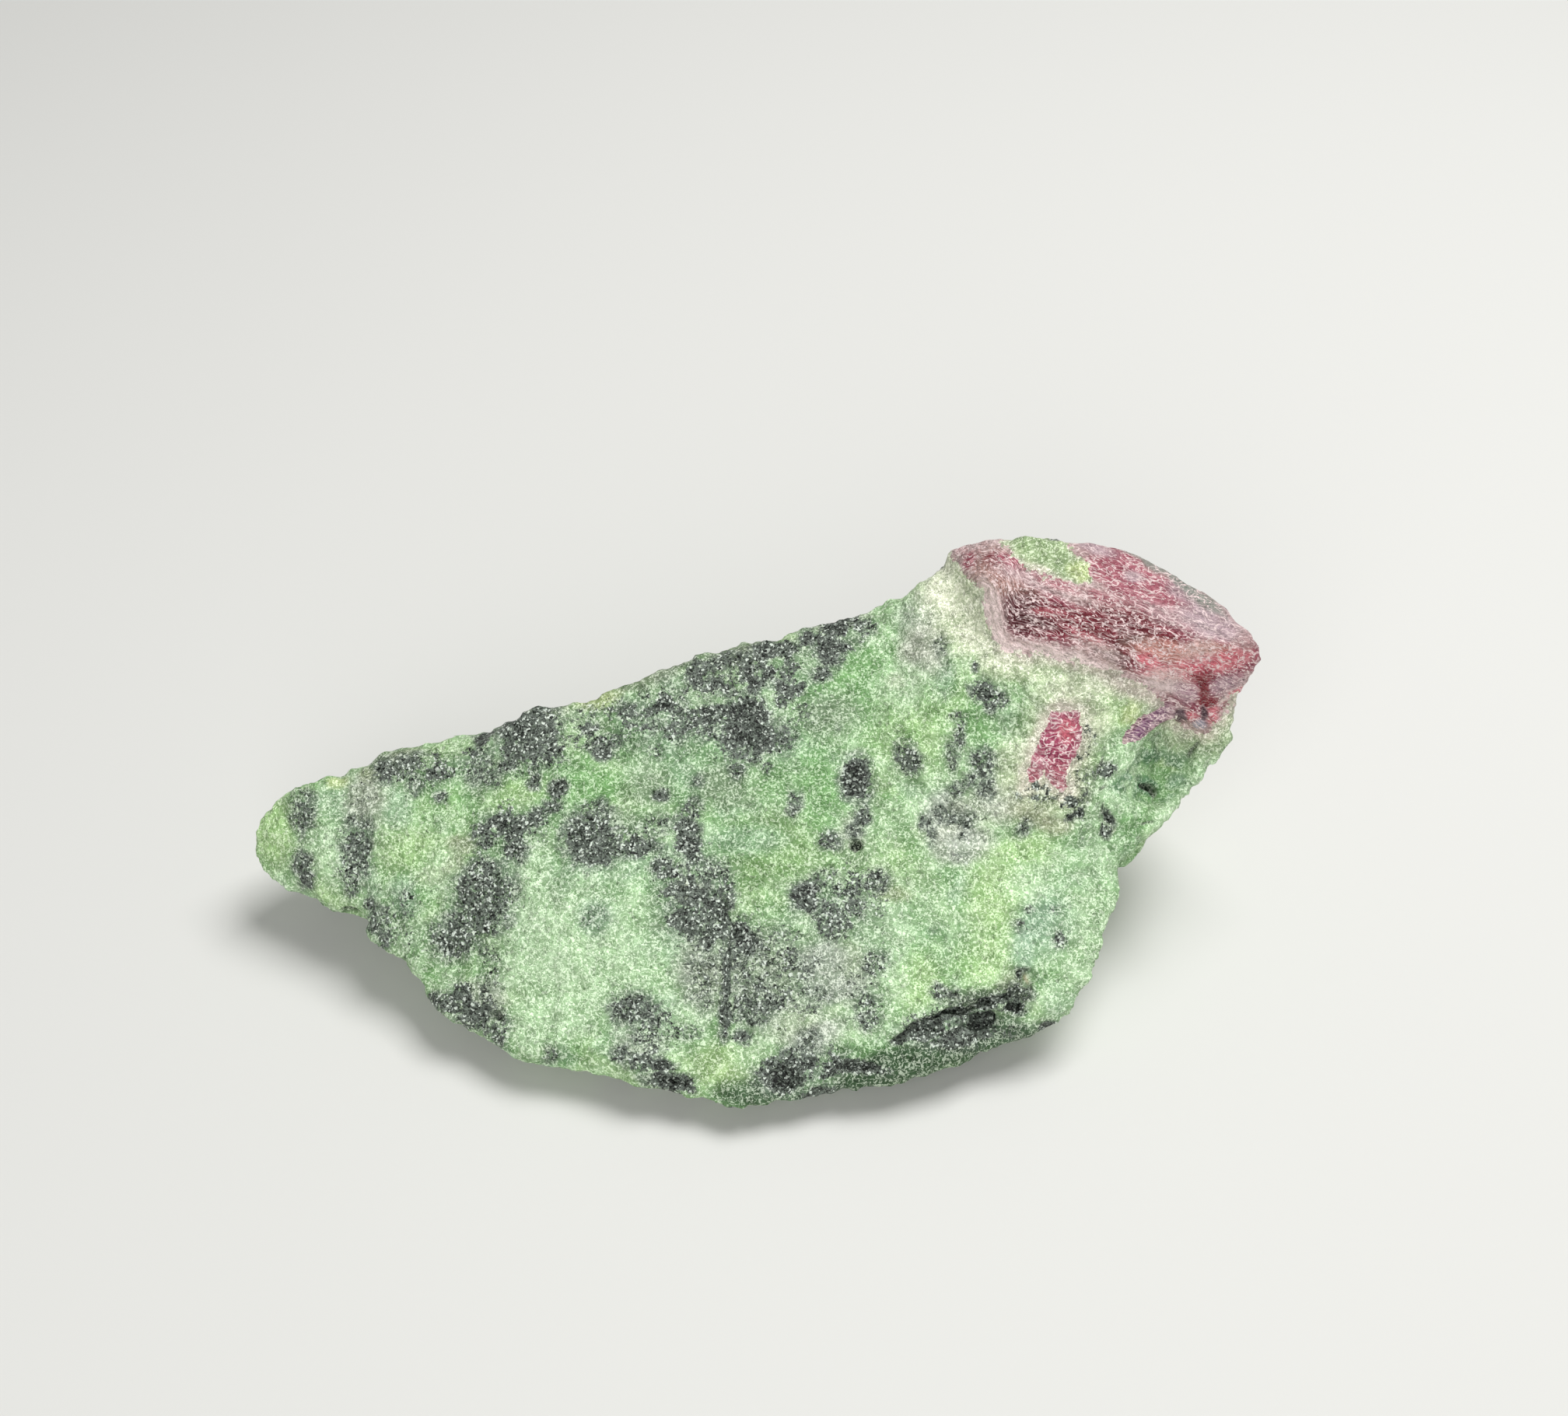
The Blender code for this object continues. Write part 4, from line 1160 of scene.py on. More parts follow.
@dataclass(frozen=True)
class Grit:
    """The grains and noises of one graph, which all its minerals read."""

    place: bpy.types.NodeSocket
    grains: Grains
    chips: Grains
    felt: Value
    strands: Value
    mottle: Value
    edge: Value

    @staticmethod
    def of(g: Graph, sizes: GritSizes) -> "Grit":
        """Add the grains and noises to a graph, once.

        Args:
            g: the graph.
            sizes: how wide they are.

        Returns:
            What the minerals read.
        """
        place = g.position()
        bent = g.warp(place, sizes.warp, sizes.warp_reach)
        return Grit(
            place=place,
            grains=g.grains(bent, sizes.grain),
            chips=g.grains(bent, sizes.chip),
            felt=g.noise(place, sizes.felt, 1.0, 0.6),
            strands=g.noise(bent, sizes.strand, 1.0, 0.5).ridge(sizes.strand_width),
            mottle=g.noise(place, sizes.mottle, 3.0, 0.65),
            edge=g.noise(place, sizes.edge, 2.0, 0.6),
        )


def opaque(colour: Sequence[float]) -> tuple[float, float, float, float]:
    """A screen colour as the four numbers of a colour socket."""
    return (*linear(colour), 1.0)


@dataclass(frozen=True)
class Zoisite:
    """Sugary green grains: each has its own brightness and a few are dark; the palest specks and the bright
    threads over them are painted glints.
    """

    grain_light: float = 0.16
    chip_light: float = 0.16
    felt_light: float = 0.28
    mottle_light: float = 1.0
    strand_light: float = 0.4
    dimmest: float = 0.31
    brightest: float = 1.49
    deep: tuple[float, float, float] = (0.46, 0.59, 0.42)
    bright: float = 1.26
    # the colour of the painted glints
    pale: tuple[float, float, float] = (240, 250, 228)
    glint_share: float = 0.13
    glint_strength: float = 0.9
    glint: float = 1.7
    dark_share: float = 0.05
    dark_strength: float = 0.4
    dark: float = 0.4
    roughness: float = 0.55

    def colour(self, g: Graph, grit: Grit, tone: bpy.types.NodeSocket) -> bpy.types.NodeSocket:
        """Spread a tone over the grains.

        Args:
            g: the graph.
            grit: its grains and noises.
            tone: the rock's own colour.

        Returns:
            The colour's socket.
        """
        light = self.grain_light * grit.grains.first + self.chip_light * grit.chips.first
        light = light + self.felt_light * grit.felt + self.mottle_light * grit.mottle
        light = (light + self.strand_light * grit.strands).rise(self.dimmest, self.brightest)
        body = g.mix(light, g.vector("MULTIPLY", tone, self.deep), g.vector("SCALE", tone, self.bright))
        # painted glints: the palest specks and the bright threads are mixed towards a colour brighter than
        # the tone
        glint_specks = grit.chips.second.highest(self.glint_share, 0.03) * self.glint_strength
        glint = g.mix(0.5, g.vector("SCALE", tone, self.glint), opaque(self.pale))
        body = g.mix((glint_specks + grit.strands).clamped(), body, glint)
        dark = grit.grains.second.lowest(self.dark_share, 0.02) * self.dark_strength
        return g.mix(dark, body, g.vector("SCALE", tone, self.dark))


@dataclass(frozen=True)
class Hornblende:
    """Black grains with a glassy lustre, with pale specks among them that are painted glints."""

    black: tuple[float, float, float] = (12, 16, 10)
    grey: tuple[float, float, float] = (127, 138, 126)
    glint_salt: tuple[float, float, float] = (226, 236, 224)
    grain_chance: float = 0.4
    chip_chance: float = 0.25
    felt_chance: float = 0.85
    least_chance: float = -0.25
    fray: float = 0.19
    grain_light: float = 0.2
    chip_light: float = 0.8
    felt_light: float = 0.8
    strand_light: float = 0.7
    dim: float = 0.57
    packed_from: float = 0.86
    packed_to: float = 1.2
    packed_dims: float = 0.3
    packed_hides: float = 0.4
    glint_salt_share: float = 0.105
    glint_salt_strength: float = 0.92
    roughness: float = 0.42

    def share(self, grit: Grit, density: Value) -> Value:
        """Which grains are hornblende, where the patch has this density.

        Args:
            grit: the grains and noises.
            density: how close the black grains lie, from 0.

        Returns:
            A value from 0 to 1.
        """
        chance = self.grain_chance * grit.grains.third + self.chip_chance * grit.chips.third
        chance = chance + self.felt_chance * grit.felt + self.least_chance
        return (density - chance).rise(-self.fray, self.fray)

    def colour(self, g: Graph, grit: Grit, density: Value) -> bpy.types.NodeSocket:
        """Black to grey grains, the darkest where they are packed, and pale specks between them that are
        painted glints.

        Args:
            g: the graph.
            grit: its grains and noises.
            density: how close the black grains lie, from 0.

        Returns:
            The colour's socket.
        """
        packed = density.rise(self.packed_from, self.packed_to)
        light = self.chip_light * grit.chips.first + self.grain_light * grit.grains.first
        light = light + self.felt_light * grit.felt + self.strand_light * grit.strands - self.dim
        body = g.mix((light - packed * self.packed_dims).clamped(), opaque(self.black), opaque(self.grey))
        # painted glints: pale specks among the black grains, fewer where the grains are packed
        glint_salted = grit.chips.second.highest(self.glint_salt_share, 0.03)
        return g.mix(glint_salted * (self.glint_salt_strength - packed * self.packed_hides), body, opaque(self.glint_salt))


@dataclass(frozen=True)
class Ruby:
    """Red crystal with thin wavy partings, and pale dust lying in them. It is calm far across them."""

    streak: float = 0.16
    stretch: float = 3.0
    wave: float = 0.9
    wave_reach: float = 0.7
    line: float = 1.8
    line_width: float = 0.045
    calm_starts: float = 6.2
    calm_ends: float = 8.0
    calm: float = 0.55
    streak_light: float = 1.1
    chip_light: float = 0.3
    felt_light: float = 0.7
    mottle_light: float = 0.5
    light: float = 0.46
    dimmest: float = 0.25
    bright: float = 1.2
    dust: tuple[float, float, float] = (240, 217, 215)
    dusty_streaks: float = 0.36
    dusty_lines: float = 0.95
    dusty_chips: float = 0.85
    calm_lines: float = 0.5
    calm_dust: float = 0.04
    gem_clears: float = 0.75
    dark_strength: float = 0.32
    dark: float = 0.2
    roughness: float = 0.42
    gem_roughness: float = 0.2

    def drawn(self, g: Graph, grit: Grit) -> bpy.types.NodeSocket:
        """The point, shrunk along the partings so that what is read there is drawn out along them.

        Args:
            g: the graph.
            grit: its grains and noises.

        Returns:
            The place's socket.
        """
        wave = (g.noise(grit.place, self.wave, 1.0, 0.5) - 0.5) * self.wave_reach
        across = g.mask(Mask.PARTING) + wave
        inputs = {"X": 0.0, "Y": 0.0, "Z": across}
        shift = g.node("ShaderNodeCombineXYZ", {}, inputs).outputs["Vector"]
        return g.vector("ADD", g.vector("SCALE", grit.place, 1.0 / self.stretch), shift)

    def colour(self, g: Graph, grit: Grit, tone: bpy.types.NodeSocket, gem: Value) -> bpy.types.NodeSocket:
        """Draw streaks, dust and dark specks over a tone.

        Args:
            g: the graph.
            grit: its grains and noises.
            tone: the ruby's own colour.
            gem: how far it is clear and glassy, from 0 to 1.

        Returns:
            The colour's socket.
        """
        drawn = self.drawn(g, grit)
        streaks = g.noise(drawn, self.streak, 2.0, 0.7)
        lines = g.noise(drawn, self.streak * self.line, 1.0, 0.5).ridge(self.line_width)
        calm = g.mask(Mask.PARTING).rise(self.calm_starts, self.calm_ends)
        lively = 1.0 - calm * self.calm
        speckle = self.chip_light * grit.chips.first + self.felt_light * grit.felt - 0.5
        light = (self.streak_light * (streaks - 0.5) + speckle) * lively
        light = (light + self.mottle_light * grit.mottle + self.light).clamped()
        body = g.vector("SCALE", tone, light * self.bright + self.dimmest)
        dusty = self.dusty_streaks * (streaks + grit.mottle * 0.4).rise(0.66, 0.9)
        dusty = dusty + self.dusty_lines * lines + self.dusty_chips * grit.chips.second.rise(0.88, 0.94)
        pale = dusty * lively + calm * (self.calm_lines * lines + self.calm_dust)
        body = g.mix((pale * (1.0 - gem * self.gem_clears)).clamped(), body, opaque(self.dust))
        dark = (streaks + grit.chips.third * 0.16).rise(0.46, 0.34) * self.dark_strength
        return g.mix(dark * lively, body, g.vector("SCALE", tone, self.dark))


@dataclass(frozen=True)
class StoneFinish:
    """The whole stone's finish: the three minerals, put where the skin's masks say."""

    sizes: GritSizes = GritSizes()
    zoisite: Zoisite = Zoisite()
    hornblende: Hornblende = Hornblende()
    ruby: Ruby = Ruby()
    ruby_fray: float = 0.5
    ruby_grain_fray: float = 0.4
    black_fray: float = 0.75
    ruby_clears: float = 0.8
    sheen_spread: float = 0.3
    grain_lean: float = 0.5
    relief_metres: float = 0.00012
    edge_relief: float = 1.8
    felt_relief: float = 0.6
    refraction: float = 1.5
    gloss: float = 0.32

    def material(self) -> bpy.types.Material:
        """Build the material.

        Returns:
            The material.
        """
        g = Graph("stone_finish")
        grit = Grit.of(g, self.sizes)
        frayed = (grit.edge - 0.5) * self.ruby_fray + (grit.grains.second - 0.5) * self.ruby_grain_fray
        ruby_mask = (g.mask(Mask.RUBY) + frayed).rise(0.42, 0.58)
        gem = g.mask(Mask.GEM)
        density = g.mask(Mask.HORNBLENDE) + (grit.edge - 0.5) * self.black_fray
        density = density * (1.0 - ruby_mask * self.ruby_clears)
        black_mask = self.hornblende.share(grit, density)
        rock = self.zoisite.colour(g, grit, g.painted(Mask.ROCK_TONE))
        rock = g.mix(black_mask, rock, self.hornblende.colour(g, grit, density))
        ruby = self.ruby.colour(g, grit, g.painted(Mask.RUBY_TONE), gem)
        inputs = {
            "Base Color": g.mix(ruby_mask, rock, ruby),
            "Roughness": self.roughness(grit, ruby_mask, black_mask, gem),
            "Normal": self.normal(g, grit),
            "IOR": self.refraction,
            "Specular IOR Level": self.gloss,
        }
        shader = g.node("ShaderNodeBsdfPrincipled", {}, inputs)
        g.node("ShaderNodeOutputMaterial", {}, {"Surface": shader.outputs["BSDF"]})
        return g.material

    def roughness(self, grit: Grit, ruby: Value, black: Value, gem: Value) -> Value:
        """How matt each grain is.

        Args:
            grit: the grains.
            ruby: how far it is ruby, from 0 to 1.
            black: how far it is hornblende.
            gem: how far it is clear ruby.

        Returns:
            The roughness.
        """
        stone = self.zoisite.roughness + (grit.grains.first - 0.5) * self.sheen_spread
        stone = stone - black * (self.zoisite.roughness - self.hornblende.roughness)
        stone = stone - ruby * (self.zoisite.roughness - self.ruby.roughness)
        return (stone - gem * (self.ruby.roughness - self.ruby.gem_roughness)).clamped()

    def normal(self, g: Graph, grit: Grit) -> bpy.types.NodeSocket:
        """Tilt every grain a little its own way, and raise the crumbs between them.

        Args:
            g: the graph.
            grit: its grains and noises.

        Returns:
            The normal's socket.
        """
        flat = g.node("ShaderNodeNewGeometry", {}, {}).outputs["Normal"]
        centred = g.vector("SUBTRACT", grit.grains.colour, (0.5, 0.5, 0.5))
        lean = g.vector("SCALE", centred, self.grain_lean)
        tilted = g.vector("NORMALIZE", g.vector("ADD", flat, lean))
        height = grit.edge * self.edge_relief + grit.felt * self.felt_relief
        inputs = {"Strength": 1.0, "Distance": self.relief_metres, "Height": height, "Normal": tilted}
        return g.node("ShaderNodeBump", {}, inputs).outputs["Normal"]


# ---------------------------------------------------------------------------------------------------------
# The stone
# ---------------------------------------------------------------------------------------------------------


@dataclass(frozen=True)
class Minerals:
    """Where the hornblende and the ruby lie in the skin."""

    fleck_grows: float = 1.15
    halo: float = 0.4
    halo_grows: float = 1.5
    haze_grows: float = 1.1
    haze_least: float = 0.15
    haze_gain: float = 1.8
    hidden_share: float = 0.9
    hidden_fray: float = 0.25
    grey_least: float = 0.55
    pinch: float = 1.8
    small_pinch: float = 0.5
    hidden_partings: float = 40.0

    def hornblende(self, skin: Skin) -> np.ndarray:
        """The share of black grains at every point: the patches, and more of them on the hidden sides.

        Args:
            skin: the points.

        Returns:
            The shares, from 0 to 1.
        """
        share = np.zeros(len(skin.points))
        for patch in FLECKS:
            share = np.maximum(share, patch.cover(skin, self.fleck_grows))
            share = np.maximum(share, self.halo * patch.cover(skin, self.halo_grows))
        broken = self.haze_least + self.haze_gain * HAZE_BREAKS.rise(skin, -0.3, 0.35)
        for patch in SOFT_FLECKS:
            share = np.maximum(share, patch.cover(skin) * broken)
        return np.maximum(share, self.hidden_share * self.hidden(skin, 0.2, 0.5))

    def hidden(self, skin: Skin, low: float, high: float) -> np.ndarray:
        """The patches of hornblende on the sides that are hidden from the camera.

        Args:
            skin: the points.
            low: the noise at a patch's edge; a lower number makes the patches wider.
            high: the noise where a patch is full.

        Returns:
            Values from 0 to 1.
        """
        wild = HIDDEN_PATCHES.read(skin) + self.hidden_fray * HIDDEN_EDGES.read(skin)
        return smoothstep(low, high, wild) * skin.hidden

    def greyed(self, skin: Skin) -> np.ndarray:
        """How far the rock in and round the patches of hornblende is grey, from 0 to 1.

        Args:
            skin: the points.

        Returns:
            Values from 0 to 1.
        """
        near = [patch.cover(skin, self.halo_grows) for patch in FLECKS]
        near += [patch.cover(skin, self.haze_grows) for patch in SOFT_FLECKS]
        near.append(self.hidden(skin, 0.0, 0.4))
        broken = self.grey_least + (1.0 - self.grey_least) * GREY_BREAKS.rise(skin, -0.25, 0.25)
        return smoothstep(0.02, 0.6, np.maximum.reduce(near)) * broken

    def ruby(self, skin: Skin) -> np.ndarray:
        """How far every point is ruby, from 0 to 1."""
        return np.maximum.reduce([part.cover(skin) for part in (RUBY_CRYSTAL, RUBY_TAIL, SMALL_RUBY)])

    def parting(self, skin: Skin) -> np.ndarray:
        """How far across the ruby's partings every point lies: they run along the crystal and bend round
        its left end.

        Args:
            skin: the points.

        Returns:
            The distances, in millimetres.
        """
        across = (skin.points - skin.point_at(*RUBY_END[-1])) @ np.array(PARTING_ACROSS)
        from_end = self.pinch * skin.gap_to(RUBY_END)[0] / skin.scale
        from_end += self.hidden_partings * smoothstep(0.1, -0.1, skin.facing)
        small = SMALL_RUBY.inside(skin) / skin.scale
        return np.where(small > -0.5, self.small_pinch * across, np.minimum(across, from_end))


@dataclass(frozen=True)
class Relief:
    """How far the skin stands out or sinks in, in millimetres."""

    lumps: float = 0.15
    crumbs: float = 0.17
    sugar: float = 0.08
    broad_facets: float = 0.6
    small_facets: float = 0.3
    least_chipped: float = 0.5
    black_sinks: float = 0.07
    black_grain: float = 0.05
    parting_steps: float = 0.05
    parting_rate: float = 7.5
    parting_waves: float = 1.2
    crystal_lumps: float = 0.06
    crystal_facets: float = 0.35
    crystal_stands: float = 0.03
    hollow_deep: float = 0.5
    hollow_lumps: float = 0.5
    undercut: float = 0.6
    undercut_grows: float = 10.0

    def rock(self, skin: Skin, black: np.ndarray, faces: np.ndarray) -> np.ndarray:
        """The rock's lumps, crumbs and facets, with the hornblende sunk in it.

        Args:
            skin: the points.
            black: the share of black grains.
            faces: the facets' height.

        Returns:
            The heights.
        """
        chipped = CHIPPED_AREAS.rise(skin, -0.5, 0.3)
        rock = self.lumps * ROCK_LUMPS.read(skin)
        rock += self.crumbs * ROCK_CRUMBS.read(skin) + self.sugar * ROCK_SUGAR.read(skin)
        rock += faces * (self.least_chipped + (1.0 - self.least_chipped) * chipped)
        rock -= black * (self.black_sinks + self.black_grain * BLACK_GRAIN.read(skin))
        return rock + self.hollow_lumps * HOLLOW.cover(skin) * HOLLOW_LUMPS.read(skin)

    def crystal(self, skin: Skin, parting: np.ndarray, faces: np.ndarray) -> np.ndarray:
        """The ruby's stepped partings and soft lumps.

        Args:
            skin: the points.
            parting: how far across the partings they lie.
            faces: the facets' height.

        Returns:
            The heights.
        """
        waves = self.parting_waves * PARTING_WAVES.read(skin)
        steps = self.parting_steps * np.sin(self.parting_rate * parting + waves)
        soft = self.crystal_lumps * CRYSTAL_LUMPS.read(skin) + self.crystal_facets * faces
        return steps + soft + self.crystal_stands

    def heights(self, skin: Skin, minerals: Minerals, black: np.ndarray, ruby: np.ndarray) -> np.ndarray:
        """The whole relief, with its cuts.

        Args:
            skin: the points.
            minerals: where they lie.
            black: the share of black grains.
            ruby: how far each point is ruby.

        Returns:
            The heights.
        """
        faces = self.broad_facets * skin.facets(BROAD_FACETS) + self.small_facets * skin.facets(SMALL_FACETS)
        rock = self.rock(skin, black, faces)
        height = rock + (self.crystal(skin, minerals.parting(skin), faces) - rock) * ruby
        for mark in (*GROOVES, *PITS, *CREASES, *RIDGES):
            height -= mark.deep * mark.cover(skin)
        height -= self.undercut * LEDGE.cover(skin, self.undercut_grows) * BAND.cover(skin)
        return height - self.hollow_deep * HOLLOW.cover(skin)


@dataclass(frozen=True)
class Drift:
    """A slow drift of the green rock towards another tone."""

    tone: Tone
    strength: float
    lumps: Lumps


DRIFTS = (
    Drift(Tone.PALE, 0.5, Lumps(5.5, 31.0, 3)),
    Drift(Tone.DEEP, 0.6, Lumps(5.5, 32.0, 3)),
    Drift(Tone.LIME, 0.4, Lumps(5.5, 33.0, 3)),
    Drift(Tone.BLUE_GREY, 0.4, Lumps(5.5, 34.0, 3)),
    Drift(Tone.PALE, 0.5, Lumps(1.5, 35.0, 3)),
    Drift(Tone.DEEP, 0.6, Lumps(1.4, 36.0, 3)),
)


def blend(colour: np.ndarray, tone: Tone, share: np.ndarray) -> np.ndarray:
    """Move every point's colour towards a tone, by its share."""
    return colour + (tone.light - colour) * share[:, None]


@dataclass(frozen=True)
class Paint:
    """The colours of the rock and the ruby, before the finish draws their grains. Most fields are strengths
    from 0 to 1, and a reach is where an edge starts and ends, in pixels inside the ruby."""

    band: float = 0.95
    glassy: float = 0.9
    grey: float = 0.85
    band_keeps: float = 0.5
    ridges: float = 0.9
    cream: float = 0.7
    cream_reach: tuple[float, float] = (-48.0, -12.0)
    rim: float = 0.85
    rim_reach: tuple[float, float] = (-22.0, -2.0)
    ruby_fray: float = 9.0
    # how strongly painted shade and light follow the crumbs and lumps of the relief
    relief_shading: float = 0.3
    relief_shading_least: float = 0.6
    relief_shading_most: float = 1.3
    crack_shade_grows: float = 1.15
    crack_shade_strength: float = 0.92
    ruby_crack_shade: float = 0.7
    ruby_dark: float = 0.8
    ruby_rim: float = 0.8
    ruby_rim_reach: tuple[float, float] = (30.0, 4.0)

    def hole(self, skin: Skin) -> np.ndarray:
        """How far each point is in a crack or a pit, from 0 to 1; painted shade goes there."""
        return np.maximum.reduce([cut.cover(skin, self.crack_shade_grows) for cut in (*GROOVES, *PITS)])

    def in_ruby(self, skin: Skin) -> np.ndarray:
        """How many pixels each point lies inside a ruby, with a frayed edge."""
        inside = np.maximum(RUBY_CRYSTAL.inside(skin), SMALL_RUBY.inside(skin))
        return inside + self.ruby_fray * skin.fray

    def rock(self, skin: Skin, minerals: Minerals) -> np.ndarray:
        """The rock's colour at every point, from its slow drifts to its cracks, with painted shade on the
        steep band under the ledge, in the hollow and in the cracks and pits, and painted shade and light
        over the crumbs.

        Args:
            skin: the points.
            minerals: where they lie.

        Returns:
            The colours, a row each.
        """
        colour = np.tile(Tone.GREEN.light, (len(skin.points), 1))
        for drift in DRIFTS:
            colour = blend(colour, drift.tone, drift.strength * drift.lumps.rise(skin, 0.05, 0.45))
        for stain in ROCK_STAINS:
            colour = blend(colour, stain.tone, stain.cover(skin))
        band = BAND.cover(skin)
        colour = blend(colour, Tone.SHADED, self.band * band)
        # partly the hollow's own deep green, partly painted shade in the recess under the ruby
        glassy = HOLLOW_LUMPS.rise(skin, -0.35, 0.25) * HOLLOW.cover(skin)
        colour = blend(colour, Tone.GLASSY, self.glassy * glassy)
        greyed = minerals.greyed(skin) * (1.0 - self.band_keeps * band)
        colour = blend(colour, Tone.GREYED, self.grey * greyed)
        ridges = np.maximum.reduce([ridge.cover(skin) for ridge in RIDGES])
        colour = blend(colour, Tone.PALE, self.ridges * ridges)
        inside = self.in_ruby(skin)
        colour = blend(colour, Tone.CREAM, self.cream * smoothstep(*self.cream_reach, inside))
        colour = blend(colour, Tone.RIM, self.rim * smoothstep(*self.rim_reach, inside))
        for stain in RUBY_GREENS:
            colour = blend(colour, stain.tone, stain.cover(skin))
        # painted shade and light: the rock is darkened between the crumbs and lumps of the relief and
        # lightened on their crests
        relief_light = 1.0 + self.relief_shading * (ROCK_CRUMBS.read(skin) + 0.5 * ROCK_LUMPS.read(skin))
        colour = colour * np.clip(relief_light, self.relief_shading_least, self.relief_shading_most)[:, None]
        # painted shade: cracks and pits darkened nearly to black
        return blend(colour, Tone.HOLE, self.crack_shade_strength * self.hole(skin))

    def ruby(self, skin: Skin) -> np.ndarray:
        """The ruby's colour at every point.

        Args:
            skin: the points.

        Returns:
            The colours, a row each.
        """
        colour = np.tile(Tone.ROSY.light, (len(skin.points), 1))
        colour = blend(colour, Tone.MAROON, self.ruby_dark * DARK_RUBY.rise(skin, -0.2, 0.4) * skin.hidden)
        edge = smoothstep(*self.ruby_rim_reach, self.in_ruby(skin))
        colour = blend(colour, Tone.DUSTY_PINK, self.ruby_rim * edge)
        for stain in RUBY_STAINS:
            colour = blend(colour, stain.tone, stain.cover(skin))
        # painted shade: cracks and pits in the ruby darkened towards black
        return blend(colour, Tone.HOLE, self.ruby_crack_shade * self.hole(skin))

    def gem(self, skin: Skin) -> np.ndarray:
        """How far every point is clear glassy ruby, from 0 to 1."""
        clear = [stain.cover(skin) for stain in RUBY_STAINS if stain.tone in (Tone.GEM, Tone.SMOKE)]
        return np.maximum.reduce(clear)


@dataclass
class StoneSurface:
    """The fine outer surface of the stone, which stands for the plain solid."""

    node: str = "stone"
    body: str = "root"
    slot: str = "ruby_in_zoisite"
    name: str = "stone_surface"
    weld_metres: float = 0.000001
    voxel: float = 0.32
    softening: float = 0.5
    base_skin: float = 0.02
    base_thinning: float = 0.85
    foot: float = 1.2
    sight: Sight = field(default_factory=Sight)
    minerals: Minerals = field(default_factory=Minerals)
    relief: Relief = field(default_factory=Relief)
    paint: Paint = field(default_factory=Paint)
    finish: StoneFinish = field(default_factory=StoneFinish)

    def build(self) -> bpy.types.Object:
        """Make the piece, dress it and put it in the solid's place.

        Returns:
            The piece.
        """
        piece = self.closed_copy()
        self.refine(piece)
        self.thin_base(piece)
        self.sharpen(piece)
        self.dress(piece, self.read(piece))
        piece.data.materials.clear()
        piece.data.materials.append(self.finish.material())
        piece.data.shade_smooth()
        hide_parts(self.node)
        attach(piece, self.body)
        return piece

    def closed_copy(self) -> bpy.types.Object:
        """Copy the solid and join its loose triangles into one closed mesh.

        Returns:
            The copy.
        """
        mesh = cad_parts[self.node].data.copy()
        mesh.name = self.name
        shape = bmesh.new()
        shape.from_mesh(mesh)
        bmesh.ops.remove_doubles(shape, verts=shape.verts, dist=self.weld_metres)
        shape.to_mesh(mesh)
        shape.free()
        piece = bpy.data.objects.new(self.name, mesh)
        bpy.context.scene.collection.objects.link(piece)
        return piece

    def refine(self, piece: bpy.types.Object) -> None:
        """Lay a fine even mesh over the piece and soften the solid's facets.

        Args:
            piece: the closed copy.
        """
        remesh = piece.modifiers.new("fine", "REMESH")
        remesh.mode = "VOXEL"
        remesh.voxel_size = self.voxel * MM
        soften = piece.modifiers.new("soften", "SMOOTH")
        soften.factor = self.softening
        soften.iterations = 2
        self.settle(piece)

    def thin_base(self, piece: bpy.types.Object) -> None:
        """Take most points out of the flat base, which needs few.

        Args:
            piece: the fine piece.
        """
        heights = self.numbers(piece.data.vertices, "co")[:, 2]
        flat = np.flatnonzero(heights < self.base_skin * MM)
        group = piece.vertex_groups.new(name="base")
        group.add(flat.tolist(), 1.0, "REPLACE")
        thin = piece.modifiers.new("thin", "DECIMATE")
        thin.ratio = 1.0 - self.base_thinning * len(flat) / len(heights)
        thin.vertex_group = group.name
        self.settle(piece)
        piece.vertex_groups.clear()

    def settle(self, piece: bpy.types.Object) -> None:
        """Turn the piece's modifiers into its mesh.

        Args:
            piece: the piece.
        """
        seen = piece.evaluated_get(bpy.context.evaluated_depsgraph_get())
        mesh = bpy.data.meshes.new_from_object(seen)
        piece.modifiers.clear()
        piece.data = mesh
        mesh.name = self.name

    def sharpen(self, piece: bpy.types.Object) -> None:
        """Halve the squares of the mesh where the finest marks are.

        Args:
            piece: the fine piece.
        """
        shape = bmesh.new()
        shape.from_mesh(piece.data)
        centres = np.array([face.calc_center_median() for face in shape.faces]) / MM
        normals = np.array([face.normal for face in shape.faces])
        columns, rows, _ = self.sight.project(centres)
        framed = np.logical_or.reduce([window.frames(columns, rows) for window in CLOSE_UPS])
        framed &= ((np.array(self.sight.eye) - centres) * normals).sum(axis=1) > 0.0
        edges = {edge for face, taken in zip(shape.faces, framed) if taken for edge in face.edges}
        bmesh.ops.subdivide_edges(shape, edges=list(edges), cuts=1, use_grid_fill=True)
        shape.to_mesh(piece.data)
        shape.free()

    @staticmethod
    def numbers(items: bpy.types.bpy_prop_collection, name: str) -> np.ndarray:
        """Read one vector of each item of a mesh, a row each.

        Args:
            items: the items.
            name: Blender's name of the vector.

        Returns:
            The rows.
        """
        flat = np.zeros(len(items) * 3, np.float32)
        items.foreach_get(name, flat)
        return flat.reshape(-1, 3)

    def read(self, piece: bpy.types.Object) -> Skin:
        """Take the piece's points and normals as arrays, in millimetres.

        Args:
            piece: the piece.

        Returns:
            Its skin.
        """
        mesh = piece.data
        points = self.numbers(mesh.vertices, "co").astype(float) / MM
        normals = self.numbers(mesh.vertex_normals, "vector").astype(float)
        faces = [tuple(p.vertices) for p in mesh.polygons]
        tree = BVHTree.FromPolygons([Vector(p) for p in points], faces)
        return Skin(self.sight, points, normals, tree)

